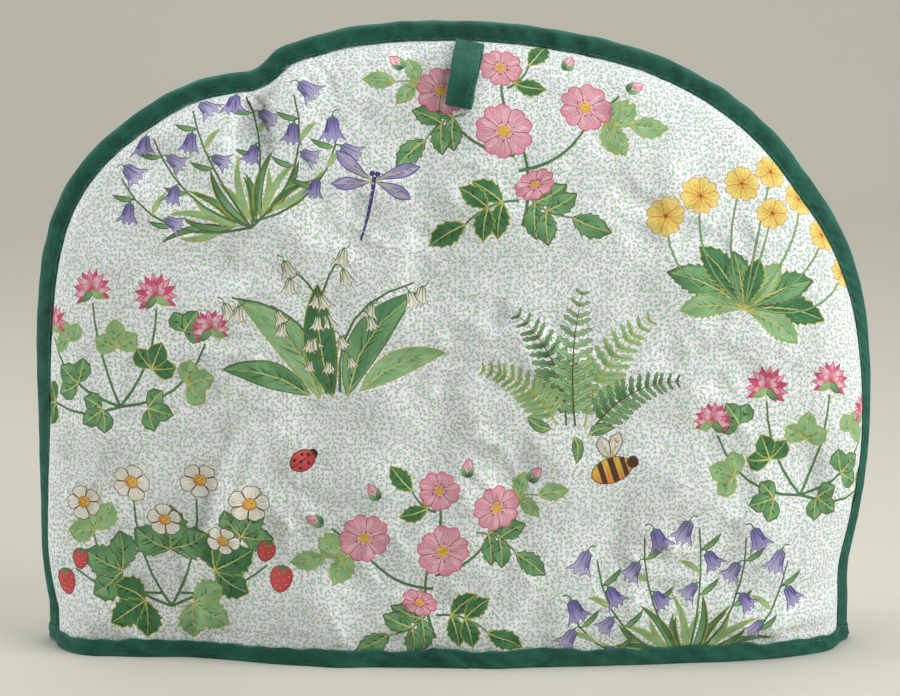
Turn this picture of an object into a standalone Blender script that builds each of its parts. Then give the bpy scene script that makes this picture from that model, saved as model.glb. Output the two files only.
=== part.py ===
"""Padded tea cosy, standing open on its hem.

Two padded panels are sewn together along an arch. A strip of binding is folded
over that seam, another goes round the hem, and a hanging loop of folded tape is
caught under the arch binding at the top of the front.

The working sizes are in millimetres: X runs across the front, Y from the front
to the back, and Z upwards from the floor. The finished solids are in metres.
"""

import math

import bmesh
import bpy
import numpy as np

# ---------------------------------------------------------------- main sizes

METRES = 0.001              # one millimetre

MID_DEPTH = 44.7            # front of a panel ahead of the seam, mid hem
SIDE_PUFF = 23.5            # the part of that depth reached close to the seam
TOP_PUFF = 18.0             # the same under the top of the arch
WALL = 8.0                  # padded wall
SEAM_LAYER = 1.9            # the wall where it is pressed flat in the seam
HEM_LAYER = 3.4             # the wall where it is pressed flat in the hem
HEM_DRAW = 2.0              # how far the hem draws in behind the panel's face
WALL_INSET = 6.0            # the seam reaches this far in behind the binding
PANEL_GAP = 0.3             # between the two panels
CLEARANCE = 0.3             # between pieces that touch

TAPE = 1.0                  # thickness of the binding cloth and of the loop
ARCH_FACE = 8.2             # width of the arch binding's face
HEM_TOP = 7.0               # height of the hem binding
HEM_BEND = 16.0             # the wall starts to draw in to the hem here

LOOP_WIDTH = 12.0
LOOP_GAP = 7.2              # the widest space between the loop's two layers
LOOP_REST = 0.9             # between the loop and the panel behind it
LOOP_STEPS = 9              # lengths of each layer of the loop

# How late each shape sets in on the way from the middle of the hem to the seam.
PUFF_POWER = 8              # the panel rounds off to the seam
DRAW_POWER = 16             # the hem stops drawing in beside the seam
BULGE_POWER = 24            # the sideways bulge

# ------------------------------------------------------------ mesh divisions

RINGS = 20                  # from the middle of the hem out to the seam
RING_CROWDING = 1.35        # above 1, the rings crowd towards the seam
STATIONS = 4 * RINGS        # along the seam, from hem to hem
NOTCH_CROWDING = 1.3        # extra stations per station, in the notch
SEAM_SAMPLES = 1441

# -------------------------------------------------------------------- tables

# Outer edge of the arch binding, seen from the front. The angle turns up from
# the left end of the hem, and the radius is from the middle of the hem.
ARCH_EDGE = (
    # angle_deg, radius_mm
    (0.0, 168.6),
    (5.0, 172.6),
    (11.0, 177.8),
    (20.0, 186.2),
    (29.5, 201.3),
    (38.5, 223.2),
    (44.5, 239.8),
    (48.5, 249.2),
    (53.5, 256.2),
    (59.0, 259.4),
    (65.5, 260.2),
    (68.3, 258.2),
    (71.2, 255.9),
    (74.1, 260.9),
    (77.5, 262.3),
    (90.0, 262.0),
    (100.0, 261.6),
    (109.5, 261.3),
    (115.0, 258.9),
    (121.0, 253.8),
    (127.0, 245.6),
    (133.0, 237.5),
    (139.0, 226.2),
    (145.0, 212.7),
    (151.0, 199.9),
    (157.5, 187.7),
    (163.5, 177.5),
    (169.0, 169.9),
    (174.0, 167.9),
    (180.0, 165.4),
)

# The seam's fin leans back from upright. The angles are those of ARCH_EDGE.
FIN_LEAN = (
    # angle_deg, lean_deg
    (0.0, 45.0),
    (14.0, 52.0),
    (28.0, 42.0),
    (40.0, 24.0),
    (52.0, 8.0),
    (70.0, 0.0),
    (112.0, 0.0),
    (130.0, 18.0),
    (142.0, 46.0),
    (152.0, 58.0),
    (165.0, 52.0),
    (180.0, 48.0),
)

NOTCH = (71.6, 17.0)        # angle of the notch in the arch, and its half width

# Soft folds of each panel: a ridge or a trough along a line on its face.
FRONT_FOLDS = (
    # x0, z0, x1, z1, half_width, height
    (-77.0, 246.0, -80.0, 214.0, 8.5, -6.0),     # trough under the notch
    (-82.0, 214.0, -91.0, 164.0, 10.0, -3.4),    # the same, lower down
    (-62.0, 214.0, -63.0, 162.0, 17.0, 2.6),     # broad ridge beside it
    (-16.0, 206.0, -14.0, 160.0, 12.0, -2.4),    # shallow trough, upper middle
    (24.0, 200.0, 30.0, 150.0, 24.0, 1.6),       # faint ridge, upper middle
    (-105.0, 0.0, -106.0, 38.0, 25.0, -8.5),     # hem drawn in, left
    (-80.0, 104.0, -101.0, 46.0, 12.0, 3.6),     # oblique ridge over it
    (-112.0, 50.0, -100.0, 22.0, 8.0, 2.4),      # short crease above the hem
    (-158.0, 0.0, -153.0, 16.0, 9.0, 3.5),       # squared left corner
    (-52.0, 30.0, -46.0, 12.0, 9.0, 1.8),        # small ridges along the hem
    (30.0, 40.0, 16.0, 14.0, 9.0, 2.0),
    (112.0, 24.0, 154.0, 22.0, 9.0, 2.6),        # shelf over the right corner
    (142.0, 86.0, 142.0, 66.0, 13.0, -3.0),      # dent, right edge
    (-150.0, 116.0, -134.0, 92.0, 8.0, 2.0),     # puckers, left edge
    (-156.0, 90.0, -140.0, 74.0, 7.0, -1.6),
    (-24.0, 246.0, -22.0, 230.0, 7.0, 1.6),      # puckers beside the loop
    (-12.0, 246.0, -11.0, 230.0, 6.0, -1.6),
    (62.0, 244.0, 58.0, 224.0, 9.0, -2.0),       # puckers under the arch
    (112.0, 222.0, 100.0, 204.0, 10.0, -2.4),
    (-128.0, 208.0, -114.0, 192.0, 9.0, -2.0),
    (150.0, 168.0, 136.0, 158.0, 9.0, -1.8),
)
BACK_FOLDS = (
    # x0, z0, x1, z1, half_width, height
    (-77.0, 246.0, -82.0, 212.0, 9.0, -5.0),
    (-84.0, 212.0, -70.0, 150.0, 12.0, -2.6),
    (64.0, 206.0, 76.0, 140.0, 18.0, 2.4),
    (-20.0, 190.0, -8.0, 120.0, 22.0, -2.6),
    (86.0, 0.0, 92.0, 46.0, 24.0, -5.0),
    (100.0, 96.0, 84.0, 40.0, 13.0, 3.0),
    (-118.0, 60.0, -98.0, 20.0, 13.0, 2.6),
    (-40.0, 34.0, -34.0, 12.0, 10.0, 2.0),
    (30.0, 36.0, 22.0, 12.0, 9.0, -1.6),
    (20.0, 246.0, 18.0, 226.0, 8.0, -2.2),
    (-118.0, 222.0, -104.0, 200.0, 10.0, -2.4),
    (108.0, 226.0, 98.0, 206.0, 10.0, -2.2),
    (150.0, 130.0, 132.0, 118.0, 9.0, -2.2),
    (-152.0, 140.0, -136.0, 128.0, 9.0, -2.0),
)
FOLD_FADE = 0.045           # folds die out over this share, next to the seam

# Both panels bulge sideways past the seam here: angle, half width, bulge.
SIDE_BULGE = (12.0, 15.0, 3.2)

# Rows of the hem under HEM_BEND: height, how far the outside draws in, wall.
HEM_ROWS = (
    # z_mm, draw_mm, wall_mm, inset_mm
    (12.0, 0.35 * HEM_DRAW, 6.2, 5.2),
    (8.9, HEM_DRAW, HEM_LAYER, HEM_LAYER),
    (TAPE + CLEARANCE, HEM_DRAW, HEM_LAYER, HEM_LAYER),
)
FIN_ROWS = (1.0, 6.7)       # seam allowance: distances out from the seam

# The hem binding's upper edge rises here and there: place, half width, rise.
HEM_RISES = (
    # x_mm, half_width_mm, rise_mm
    (-130.0, 12.0, 0.5),
    (-52.0, 10.0, 0.6),
    (-2.0, 9.0, 1.2),
    (34.0, 10.0, 1.5),
    (104.0, 14.0, 0.6),
)

# The loop runs down the front panel between these points.
LOOP_TOP = (6.3, 253.1)
LOOP_FOOT = (1.9, 229.4)


# ---------------------------------------------------------- small geometry

def smooth_rows(rows, column, places):
    """Read a table's column at some places, along a smooth curve."""
    at = np.array([row[0] for row in rows])
    value = np.array([row[column] for row in rows])
    slope = np.gradient(value, at)
    span = np.clip(np.searchsorted(at, places, side="right") - 1, 0, len(at) - 2)
    width = at[span + 1] - at[span]
    t = (places - at[span]) / width
    return (
        (1 + 2 * t) * (1 - t) ** 2 * value[span]
        + t * (1 - t) ** 2 * width * slope[span]
        + t * t * (3 - 2 * t) * value[span + 1]
        + t * t * (t - 1) * width * slope[span + 1]
    )


def smooth_step(t):
    t = min(1.0, max(0.0, t))
    return t * t * (3 - 2 * t)


def hill(distance, half_width):
    return math.exp(-((distance / half_width) ** 2))


def distance_to_line(x, z, x0, z0, x1, z1):
    along_x, along_z = x1 - x0, z1 - z0
    share = ((x - x0) * along_x + (z - z0) * along_z) / (along_x**2 + along_z**2)
    share = min(1.0, max(0.0, share))
    return math.hypot(x - x0 - share * along_x, z - z0 - share * along_z)


def offset_loop(points, distance):
    """Move a closed outline outwards, keeping each side parallel."""
    count = len(points)
    moved = []
    for index, (x, y) in enumerate(points):
        before = points[index - 1]
        after = points[(index + 1) % count]
        normals = []
        for (xa, ya), (xb, yb) in ((before, (x, y)), ((x, y), after)):
            length = math.hypot(xb - xa, yb - ya)
            normals.append(((yb - ya) / length, (xa - xb) / length))
        nx = normals[0][0] + normals[1][0]
        ny = normals[0][1] + normals[1][1]
        scale = 2.0 * distance / (nx * nx + ny * ny)
        moved.append((x + nx * scale, y + ny * scale))
    return moved


# -------------------------------------------------------------- the seam

class Seam:
    """The arched seam line, from the left end of the hem to the right one."""

    def __init__(self):
        angle = np.linspace(0.0, 180.0, SEAM_SAMPLES)
        radius = smooth_rows(ARCH_EDGE, 1, angle)
        lean = np.radians(smooth_rows(FIN_LEAN, 1, angle))
        edge_x = -radius * np.cos(np.radians(angle))
        edge_z = radius * np.sin(np.radians(angle))
        out_x, out_z = self.normals(edge_x, edge_z, angle)
        width = ARCH_FACE * np.cos(lean)
        x = edge_x - out_x * width
        z = edge_z - out_z * width

        above = np.flatnonzero(z >= HEM_BEND)
        keep = slice(above[0], above[-1] + 1)
        self.x, self.z = x[keep], z[keep]
        self.out_x, self.out_z = out_x[keep], out_z[keep]
        self.lean, self.angle = lean[keep], angle[keep]
        self.z[0] = self.z[-1] = HEM_BEND

        step = np.hypot(np.diff(self.x), np.diff(self.z))
        notch = np.exp(-(((self.angle[1:] - NOTCH[0]) / NOTCH[1] * 2) ** 2))
        crowd = np.concatenate(([0.0], np.cumsum(step * (1 + NOTCH_CROWDING * notch))))
        self.share = crowd / crowd[-1]
        self.turn = np.arctan2(self.z - HEM_BEND, self.x)
        self.reach = np.hypot(self.x, self.z - HEM_BEND)

    @staticmethod
    def normals(x, z, angle):
        """Outward normals, level at both ends of the hem."""
        along_x, along_z = np.gradient(x), np.gradient(z)
        upright = np.clip(np.minimum(angle, 180.0 - angle) / 7.0 - 0.6, 0.0, 1.0)
        out_x, out_z = -along_z, along_x * upright
        length = np.hypot(out_x, out_z)
        return out_x / length, out_z / length

    def read(self, values, station):
        return float(np.interp(station / STATIONS, self.share, values))

    def place(self, station):
        """Seam point, outward normal and lean at a station."""
        return tuple(
            self.read(values, station)
            for values in (self.x, self.z, self.out_x, self.out_z, self.lean)
        )

    def polar(self, x, z):
        """Share of the way from the middle of the hem to the seam, and the turn."""
        turn = math.atan2(z - HEM_BEND, x)
        reach = float(np.interp(-turn, -self.turn, self.reach))
        return math.hypot(x, z - HEM_BEND) / reach, turn

    def lean_towards(self, turn):
        return float(np.interp(-turn, -self.turn, self.lean))


# -------------------------------------------------------------- the panels

class Panel:
    """One padded panel. Its side is -1 for the front and +1 for the back."""

    def __init__(self, seam, side, folds):
        self.seam, self.side, self.folds = seam, side, folds

    def puff(self, turn):
        return SIDE_PUFF + (TOP_PUFF - SIDE_PUFF) * math.sin(turn) ** 2

    def fold(self, x, z, share):
        height = sum(
            row[5] * hill(distance_to_line(x, z, *row[:4]), row[4]) for row in self.folds
        )
        return height * smooth_step((1.0 - share) / FOLD_FADE)

    def swell(self, x, z, share, turn, layer):
        """Depth of a face whose wall is layer thick, without the seam's share."""
        puff = self.puff(turn)
        lens = MID_DEPTH - puff
        rounded = math.sqrt(max(0.0, 1.0 - share**PUFF_POWER))
        return (
            lens * (1.0 - share**2)
            + (puff - layer + SEAM_LAYER) * rounded
            + self.fold(x, z, share)
        )

    def bulge(self, share, turn):
        """Sideways bulge of the panel's edge, low on the left."""
        degrees = 180.0 - math.degrees(turn)
        near_edge = share**BULGE_POWER
        return SIDE_BULGE[2] * hill(degrees - SIDE_BULGE[0], SIDE_BULGE[1]) * (
            4.0 * near_edge * (1.0 - near_edge)
        )

    def outside(self, x, z, draw=0.0):
        """A point of the outer face over a place inside the seam."""
        share, turn = self.seam.polar(x, z)
        share = min(share, 1.0)
        slant = 1.0 / math.cos(self.seam.lean_towards(turn)) - 1.0
        seam = (PANEL_GAP / 2 + SEAM_LAYER) * (1.0 + slant * share**PUFF_POWER)
        depth = seam + self.swell(x, z, share, turn, SEAM_LAYER) - draw * (1.0 - share**DRAW_POWER)
        side = self.bulge(share, turn)
        x += side * math.cos(turn)
        z += side * math.sin(turn)
        return x, self.side * depth, z

    def inside(self, x, z, wall=WALL, inset=WALL_INSET):
        """The point of the inner face that backs a point of the outer one."""
        share, turn = self.seam.polar(x, z)
        share = min(share, 1.0)
        reach = math.hypot(x, z - HEM_BEND) / share if share > 0 else 1.0
        slant = 1.0 / math.cos(self.seam.lean_towards(turn)) - 1.0
        shrink = 1.0 - inset / reach if share > 0 else 1.0
        depth = PANEL_GAP / 2 * (1.0 + slant * share**PUFF_POWER)
        depth += self.swell(x, z, share, turn, wall)
        return x * shrink, self.side * depth, HEM_BEND + (z - HEM_BEND) * shrink

    def fin(self, station, reach, layer):
        """A point of the seam allowance, at a distance out from the seam."""
        x, z, out_x, out_z, lean = self.seam.place(station)
        across = reach * math.cos(lean)
        depth = self.side * (PANEL_GAP / 2 + layer) / math.cos(lean)
        return x + out_x * across, depth + reach * math.sin(lean), z + out_z * across


def ring_share(ring):
    return 1.0 - (1.0 - ring / RINGS) ** RING_CROWDING


def body_station(i, j):
    """Station of the seam that a body vertex lies towards."""
    ring = max(abs(i), j)
    if j == ring:
        return RINGS * (2.0 + i / ring)
    return RINGS * j / ring if i < 0 else RINGS * (4.0 - j / ring)


def edge_vertex(station):
    """The body vertex that lies on the seam at a station."""
    if station <= RINGS:
        return ("body", -RINGS, station)
    if station <= 3 * RINGS:
        return ("body", station - 2 * RINGS, RINGS)
    return ("body", RINGS, STATIONS - station)


def fin_vertex(station, row):
    return ("fin", station, row) if row else edge_vertex(station)


def hem_vertex(column, row):
    if row:
        return ("hem", column, row)
    if abs(column) <= RINGS:
        return ("body", column, 0)
    return ("fin", 0 if column < 0 else STATIONS, abs(column) - RINGS)


def body_place(seam, i, j):
    """Front view place of a body vertex."""
    ring = max(abs(i), j)
    if ring == 0:
        return 0.0, HEM_BEND
    share = ring_share(ring)
    x, z = seam.place(body_station(i, j))[:2]
    return x * share, HEM_BEND + (z - HEM_BEND) * share


def panel_point(panel, vertex, outer):
    """A vertex of the outer or the inner face of a panel."""
    kind, first, second = vertex
    if kind == "body":
        x, z = body_place(panel.seam, first, second)
        return panel.outside(x, z) if outer else panel.inside(x, z)
    layer = SEAM_LAYER if outer else 0.0
    if kind == "fin":
        return panel.fin(first, FIN_ROWS[second - 1], layer)
    z, draw, wall, inset = HEM_ROWS[second - 1]
    if abs(first) > RINGS:
        end = 0 if first < 0 else STATIONS
        x, y, _ = panel.fin(end, FIN_ROWS[abs(first) - RINGS - 1], layer)
        return x, y, z
    x, base = body_place(panel.seam, first, 0)
    if outer:
        x, y, _ = panel.outside(x, base, draw)
    else:
        x, y, _ = panel.inside(x, base, wall, inset)
    return x, y, z


def panel_sheet():
    """Quads of a panel's face and the vertices round its edge, seen from -Y."""
    quads = []
    for i in range(-RINGS, RINGS):
        for j in range(RINGS):
            quads.append([("body", a, b) for a, b in
                          ((i, j), (i + 1, j), (i + 1, j + 1), (i, j + 1))])
    for station in range(STATIONS):
        for row in range(len(FIN_ROWS)):
            quads.append([fin_vertex(station, row), fin_vertex(station + 1, row),
                          fin_vertex(station + 1, row + 1), fin_vertex(station, row + 1)])
    last = RINGS + len(FIN_ROWS)
    foot = len(HEM_ROWS)
    for column in range(-last, last):
        for row in range(foot):
            quads.append([hem_vertex(column, row + 1), hem_vertex(column + 1, row + 1),
                          hem_vertex(column + 1, row), hem_vertex(column, row)])
    edge = [fin_vertex(station, len(FIN_ROWS)) for station in range(STATIONS + 1)]
    edge += [hem_vertex(last, row) for row in range(1, foot)]
    edge += [hem_vertex(column, foot) for column in range(last, -last - 1, -1)]
    edge += [hem_vertex(-last, row) for row in range(foot - 1, 0, -1)]
    return quads, edge


def make_panel(name, panel, material):
    quads, edge = panel_sheet()
    number, points = {}, []
    for outer in (True, False):
        for quad in quads:
            for vertex in quad:
                if (vertex, outer) not in number:
                    number[vertex, outer] = len(points)
                    points.append(panel_point(panel, vertex, outer))
    faces = [[number[v, True] for v in quad] for quad in quads]
    faces += [[number[v, False] for v in reversed(quad)] for quad in quads]
    for a, b in zip(edge, edge[1:] + edge[:1]):
        faces.append([number[a, True], number[b, True], number[b, False], number[a, False]])
    return make_solid(name, points, faces, material)


# ------------------------------------------------------------- the bindings

def arch_section():
    """Section of the arch binding: distance out from the seam, and across it."""
    inner = PANEL_GAP / 2 + SEAM_LAYER + CLEARANCE
    outer = inner + TAPE
    end = FIN_ROWS[-1] + CLEARANCE
    lip, crown = 0.5, 0.2
    shoulder, corner, corner_across = ARCH_FACE - 1.0, ARCH_FACE - 0.2, outer * 0.68
    front = (
        (lip, -outer), (ARCH_FACE / 2, -outer - crown), (shoulder, -outer),
        (corner, -corner_across),
    )
    back = tuple((out, -across) for out, across in reversed(front))
    hollow = ((lip, inner), (end, inner), (end, -inner), (lip, -inner))
    return (*front, (ARCH_FACE, 0.0), *back, *hollow)


def make_arch_binding(seam, material):
    section = arch_section()
    lowest = HEM_TOP + CLEARANCE
    stops = [(0, lowest)] + [(k, None) for k in range(STATIONS + 1)] + [(STATIONS, lowest)]
    points = []
    for station, height in stops:
        x, z, out_x, out_z, lean = seam.place(station)
        for out, across in section:
            level = out * math.cos(lean)
            points.append((
                x + out_x * level,
                across / math.cos(lean) + out * math.sin(lean),
                z + out_z * level if height is None else height,
            ))
    size = len(section)
    faces = []
    for stop in range(len(stops) - 1):
        for k in range(size):
            a, b = stop * size + k, stop * size + (k + 1) % size
            faces.append([a, b, b + size, a + size])
    last = (len(stops) - 1) * size
    faces += [list(range(size)), list(range(last, last + size))]
    return make_solid("arch_binding", points, faces, material)


def hem_outline(front, back, outer):
    """Level outline of both panels in the hem, anticlockwise seen from above."""
    foot = len(HEM_ROWS)
    inset = RINGS - 1
    tip = RINGS + len(FIN_ROWS) if outer else RINGS
    right = [(front, tip), (back, tip)]
    left = [(back, -tip), (front, -tip)]
    ring = [(front, column) for column in range(-inset, inset + 1)] + right
    ring += [(back, column) for column in range(inset, -inset - 1, -1)] + left
    return [panel_point(panel, hem_vertex(column, foot), outer)[:2] for panel, column in ring]


def hem_height(x, y):
    """Height of the hem binding's upper edge."""
    if y > 0:
        x = -x
    return HEM_TOP + sum(rise * hill(x - at, width) for at, width, rise in HEM_RISES)


def make_hem_binding(front, back, material):
    outside = hem_outline(front, back, outer=True)
    inside = hem_outline(front, back, outer=False)
    loops = [offset_loop(outside, distance) for distance in (CLEARANCE + TAPE, CLEARANCE)]
    loops += [offset_loop(inside, -distance) for distance in (CLEARANCE, CLEARANCE + TAPE)]
    points = []
    count = len(outside)
    for k in range(count):
        top = hem_height(*outside[k])
        outer_out, outer_in, inner_out, inner_in = (loop[k] for loop in loops)
        points += [
            (*outer_out, 0.0), (*outer_out, top), (*outer_in, top), (*outer_in, TAPE),
            (*inner_out, TAPE), (*inner_out, top), (*inner_in, top), (*inner_in, 0.0),
        ]
    size = 8
    faces = []
    for stop in range(count):
        for k in range(size):
            a, b = stop * size + k, stop * size + (k + 1) % size
            c, d = (b + size) % len(points), (a + size) % len(points)
            faces.append([a, b, c, d])
    return make_solid("hem_binding", points, faces, material)


# ------------------------------------------------------------ the hanging loop

def loop_path(front):
    """Where the loop runs on the front panel: points and outward normals."""
    points = []
    for k in range(LOOP_STEPS + 1):
        share = k / LOOP_STEPS
        x = LOOP_TOP[0] + (LOOP_FOOT[0] - LOOP_TOP[0]) * share
        z = LOOP_TOP[1] + (LOOP_FOOT[1] - LOOP_TOP[1]) * share
        points.append(np.array(front.outside(x, z)))
    normals = []
    for k in range(LOOP_STEPS + 1):
        along = points[min(k + 1, LOOP_STEPS)] - points[max(k - 1, 0)]
        normal = np.array((0.0, along[2], -along[1]))
        normals.append(normal / np.linalg.norm(normal))
    return points, normals


def loop_gap(share):
    """Distance between the middles of the loop's two layers, down its length."""
    return TAPE + CLEARANCE + LOOP_GAP * math.sin(math.pi * share * 0.75) ** 1.2


def make_hanging_loop(front, material):
    """A band of tape: down one layer, round the foot and up the other."""
    points, normals = loop_path(front)
    last = len(points) - 1
    rest = LOOP_REST + TAPE / 2
    middle = [point + normal * rest for point, normal in zip(points, normals)]
    down = points[last] - points[last - 1]
    down /= np.linalg.norm(down)
    radius = loop_gap(1.0) / 2
    centre = middle[last] + normals[last] * radius
    for angle in (-0.25 * math.pi, 0.0, 0.25 * math.pi):
        middle.append(centre + radius * (
            down * math.cos(angle) + normals[last] * math.sin(angle)))
    for k in range(last, -1, -1):
        middle.append(points[k] + normals[k] * (rest + loop_gap(k / last)))
    return make_band("hanging_loop", middle, material)


def make_band(name, middle, material):
    """Extrude a closed band of tape, given the middle of its thickness."""
    across = np.array(LOOP_FOOT) - np.array(LOOP_TOP)
    lean = math.atan2(across[0], -across[1])
    sideways = np.array((math.cos(lean), 0.0, math.sin(lean)))
    flat = [(float(p[1]), float(p[2])) for p in middle]
    outer = offset_loop(flat, -TAPE / 2)
    inner = offset_loop(flat, TAPE / 2)
    count = len(middle)
    points = []
    for k in range(count):
        for y, z in (outer[k], inner[k]):
            place = np.array((middle[k][0], y, z))
            for half in (-LOOP_WIDTH / 2, LOOP_WIDTH / 2):
                points.append(tuple(place + sideways * half))
    faces = []
    for k in range(count):
        a, b = 4 * k, 4 * ((k + 1) % count)
        for m, n in ((0, 1), (1, 3), (3, 2), (2, 0)):
            faces.append([a + m, a + n, b + n, b + m])
    return make_solid(name, points, faces, material)


# ------------------------------------------------------------------ objects

def make_material(name, colour, roughness):
    material = bpy.data.materials.new(name)
    material.use_nodes = True
    shader = material.node_tree.nodes["Principled BSDF"]
    shader.inputs["Base Color"].default_value = (*colour, 1.0)
    shader.inputs["Roughness"].default_value = roughness
    shader.inputs["Metallic"].default_value = 0.0
    material.diffuse_color = (*colour, 1.0)
    return material


def make_solid(name, points, faces, material):
    """One closed object from points in millimetres."""
    mesh = bpy.data.meshes.new(name)
    mesh.from_pydata([tuple(c * METRES for c in point) for point in points], [], faces)
    shape = bmesh.new()
    shape.from_mesh(mesh)
    bmesh.ops.triangulate(shape, faces=shape.faces)
    bmesh.ops.recalc_face_normals(shape, faces=shape.faces)
    shape.to_mesh(mesh)
    shape.free()
    mesh.materials.append(material)
    mesh.shade_smooth()
    mesh.set_sharp_from_angle(angle=math.radians(50.0))
    solid = bpy.data.objects.new(name, mesh)
    bpy.context.collection.objects.link(solid)
    return solid


def centre_on_origin(solids):
    """Put the middle of the whole cosy's footprint on the origin."""
    corners = np.array([v.co[:] for solid in solids for v in solid.data.vertices])
    low, high = corners.min(axis=0), corners.max(axis=0)
    shift = (low + high) / 2
    for solid in solids:
        for vertex in solid.data.vertices:
            vertex.co.x -= shift[0]
            vertex.co.y -= shift[1]


def main():
    for old in list(bpy.data.objects):
        bpy.data.objects.remove(old, do_unlink=True)
    cotton = make_material("printed_cotton", (0.72, 0.76, 0.68), 0.9)
    green = make_material("binding_cotton", (0.018, 0.14, 0.095), 0.8)
    tape = make_material("loop_cotton", (0.03, 0.15, 0.115), 0.8)
    seam = Seam()
    front = Panel(seam, -1.0, FRONT_FOLDS)
    back = Panel(seam, 1.0, BACK_FOLDS)
    centre_on_origin([
        make_panel("front_panel", front, cotton),
        make_panel("back_panel", back, cotton),
        make_arch_binding(seam, green),
        make_hem_binding(front, back, green),
        make_hanging_loop(front, tape),
    ])


main()
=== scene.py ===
"""Looks of the padded tea cosy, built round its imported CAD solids.

The working sizes are in millimetres, in the frame of the CAD source before it
was centred: X runs across the front, Y from the front to the back, Z upwards.
"""

import math

import bpy
import numpy as np
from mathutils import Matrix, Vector
from mathutils.geometry import delaunay_2d_cdt


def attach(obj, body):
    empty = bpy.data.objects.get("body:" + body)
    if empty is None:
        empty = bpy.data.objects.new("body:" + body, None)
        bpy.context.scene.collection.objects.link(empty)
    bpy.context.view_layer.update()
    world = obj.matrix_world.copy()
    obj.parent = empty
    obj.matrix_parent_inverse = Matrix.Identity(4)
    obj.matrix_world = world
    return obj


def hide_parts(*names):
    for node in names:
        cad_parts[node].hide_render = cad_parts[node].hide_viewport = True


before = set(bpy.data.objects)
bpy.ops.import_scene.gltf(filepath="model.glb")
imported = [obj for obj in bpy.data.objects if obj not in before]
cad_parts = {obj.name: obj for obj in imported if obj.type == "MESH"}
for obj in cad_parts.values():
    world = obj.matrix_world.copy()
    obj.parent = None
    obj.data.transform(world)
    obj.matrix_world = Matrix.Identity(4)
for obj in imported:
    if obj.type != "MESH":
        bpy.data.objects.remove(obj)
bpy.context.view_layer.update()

# ------------------------------------------------- sizes shared with the CAD

METRES = 0.001
CENTRE = np.array((-0.241, -0.238, 0.0))    # middle of the footprint

MID_DEPTH, SIDE_PUFF, TOP_PUFF = 44.7, 23.5, 18.0   # half depth, and its rounding at the seam
WALL, WALL_INSET = 8.0, 6.0                         # the padded wall and its end at the seam
SEAM_LAYER, HEM_LAYER = 1.9, 3.4                    # a panel pressed flat
HEM_DRAW, DRAWN_LENGTH = 2.0, 7.1                   # how far the hem is drawn in, over what height
PANEL_GAP = CLEARANCE = 0.3
TAPE, ARCH_FACE, FIN_END = 1.0, 8.2, 6.7            # tape thickness; arch binding; panels in it
HEM_TOP, HEM_BEND = 7.0, 16.0                       # top of the hem binding, foot of the seam
HEM_FOOT = TAPE + CLEARANCE
TURN_IN = 3.6                                       # cloth turned under at the bindings' edges
LOOP_TOP, LOOP_FOOT = (6.4, 252.0), (2.0, 230.0)    # x, z
LOOP_GAP, LOOP_REST = 7.2, 0.9                      # room inside the loop and behind it
PUFF_POWER, DRAW_POWER, BULGE_POWER = 8, 16, 24     # how near to the seam each form reaches
FLAT_FOOT = HEM_FOOT - HEM_BEND                     # lower edge of the cloth laid flat

# Heights of the cloth's small forms, which only the looks have.
SEAM_PUCKER, NOTCH_PUCKER, HEM_PUCKER = 1.25, 1.1, 0.8
BROAD_RIPPLE, FINE_RIPPLE, CRUMPLE, CREASE_GAIN = 1.15, 0.25, 1.4, 1.25

ARCH_EDGE = np.array((      # angle_deg, radius_mm of the outer edge
    (0, 168.6), (5, 172.6), (11, 177.8), (20, 186.2), (29.5, 201.3), (38.5, 223.2), (44.5, 239.8),
    (48.5, 249.2), (53.5, 256.2), (59, 259.4), (65.5, 260.2), (68.3, 258.2), (71.2, 255.9),
    (74.1, 260.9), (77.5, 262.3), (90, 262), (100, 261.6), (109.5, 261.3), (115, 258.9),
    (121, 253.8), (127, 245.6), (133, 237.5), (139, 226.2), (145, 212.7), (151, 199.9),
    (157.5, 187.7), (163.5, 177.5), (169, 169.9), (174, 167.9), (180, 165.4),
))
FIN_LEAN = np.array((       # angle_deg, lean_deg of the seam's fin
    (0, 45), (14, 52), (28, 42), (40, 24), (52, 8), (70, 0), (112, 0), (130, 18), (142, 46),
    (152, 58), (165, 52), (180, 48),
))
FRONT_FOLDS = (             # x0, z0, x1, z1, half_width, height
    (-77, 246, -80, 214, 8.5, -6), (-82, 214, -91, 164, 10, -3.4), (-62, 214, -63, 162, 17, 2.6),
    (-16, 206, -14, 160, 12, -2.4), (24, 200, 30, 150, 24, 1.6), (-105, 0, -106, 38, 25, -8.5),
    (-80, 104, -101, 46, 12, 3.6), (-112, 50, -100, 22, 8, 2.4), (-158, 0, -153, 16, 9, 3.5),
    (-52, 30, -46, 12, 9, 1.8), (30, 40, 16, 14, 9, 2), (112, 24, 154, 22, 9, 2.6),
    (142, 86, 142, 66, 13, -3), (-150, 116, -134, 92, 8, 2), (-156, 90, -140, 74, 7, -1.6),
    (-24, 246, -22, 230, 7, 1.6), (-12, 246, -11, 230, 6, -1.6), (62, 244, 58, 224, 9, -2),
    (112, 222, 100, 204, 10, -2.4), (-128, 208, -114, 192, 9, -2), (150, 168, 136, 158, 9, -1.8),
)
BACK_FOLDS = (              # the same columns
    (-77, 246, -82, 212, 9, -5), (-84, 212, -70, 150, 12, -2.6), (64, 206, 76, 140, 18, 2.4),
    (-20, 190, -8, 120, 22, -2.6), (86, 0, 92, 46, 24, -5), (100, 96, 84, 40, 13, 3),
    (-118, 60, -98, 20, 13, 2.6), (-40, 34, -34, 12, 10, 2), (30, 36, 22, 12, 9, -1.6),
    (20, 246, 18, 226, 8, -2.2), (-118, 222, -104, 200, 10, -2.4), (108, 226, 98, 206, 10, -2.2),
    (150, 130, 132, 118, 9, -2.2), (-152, 140, -136, 128, 9, -2),
)
FOLD_FADE = 0.045           # share of the way to the seam over which folds fade out
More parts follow.
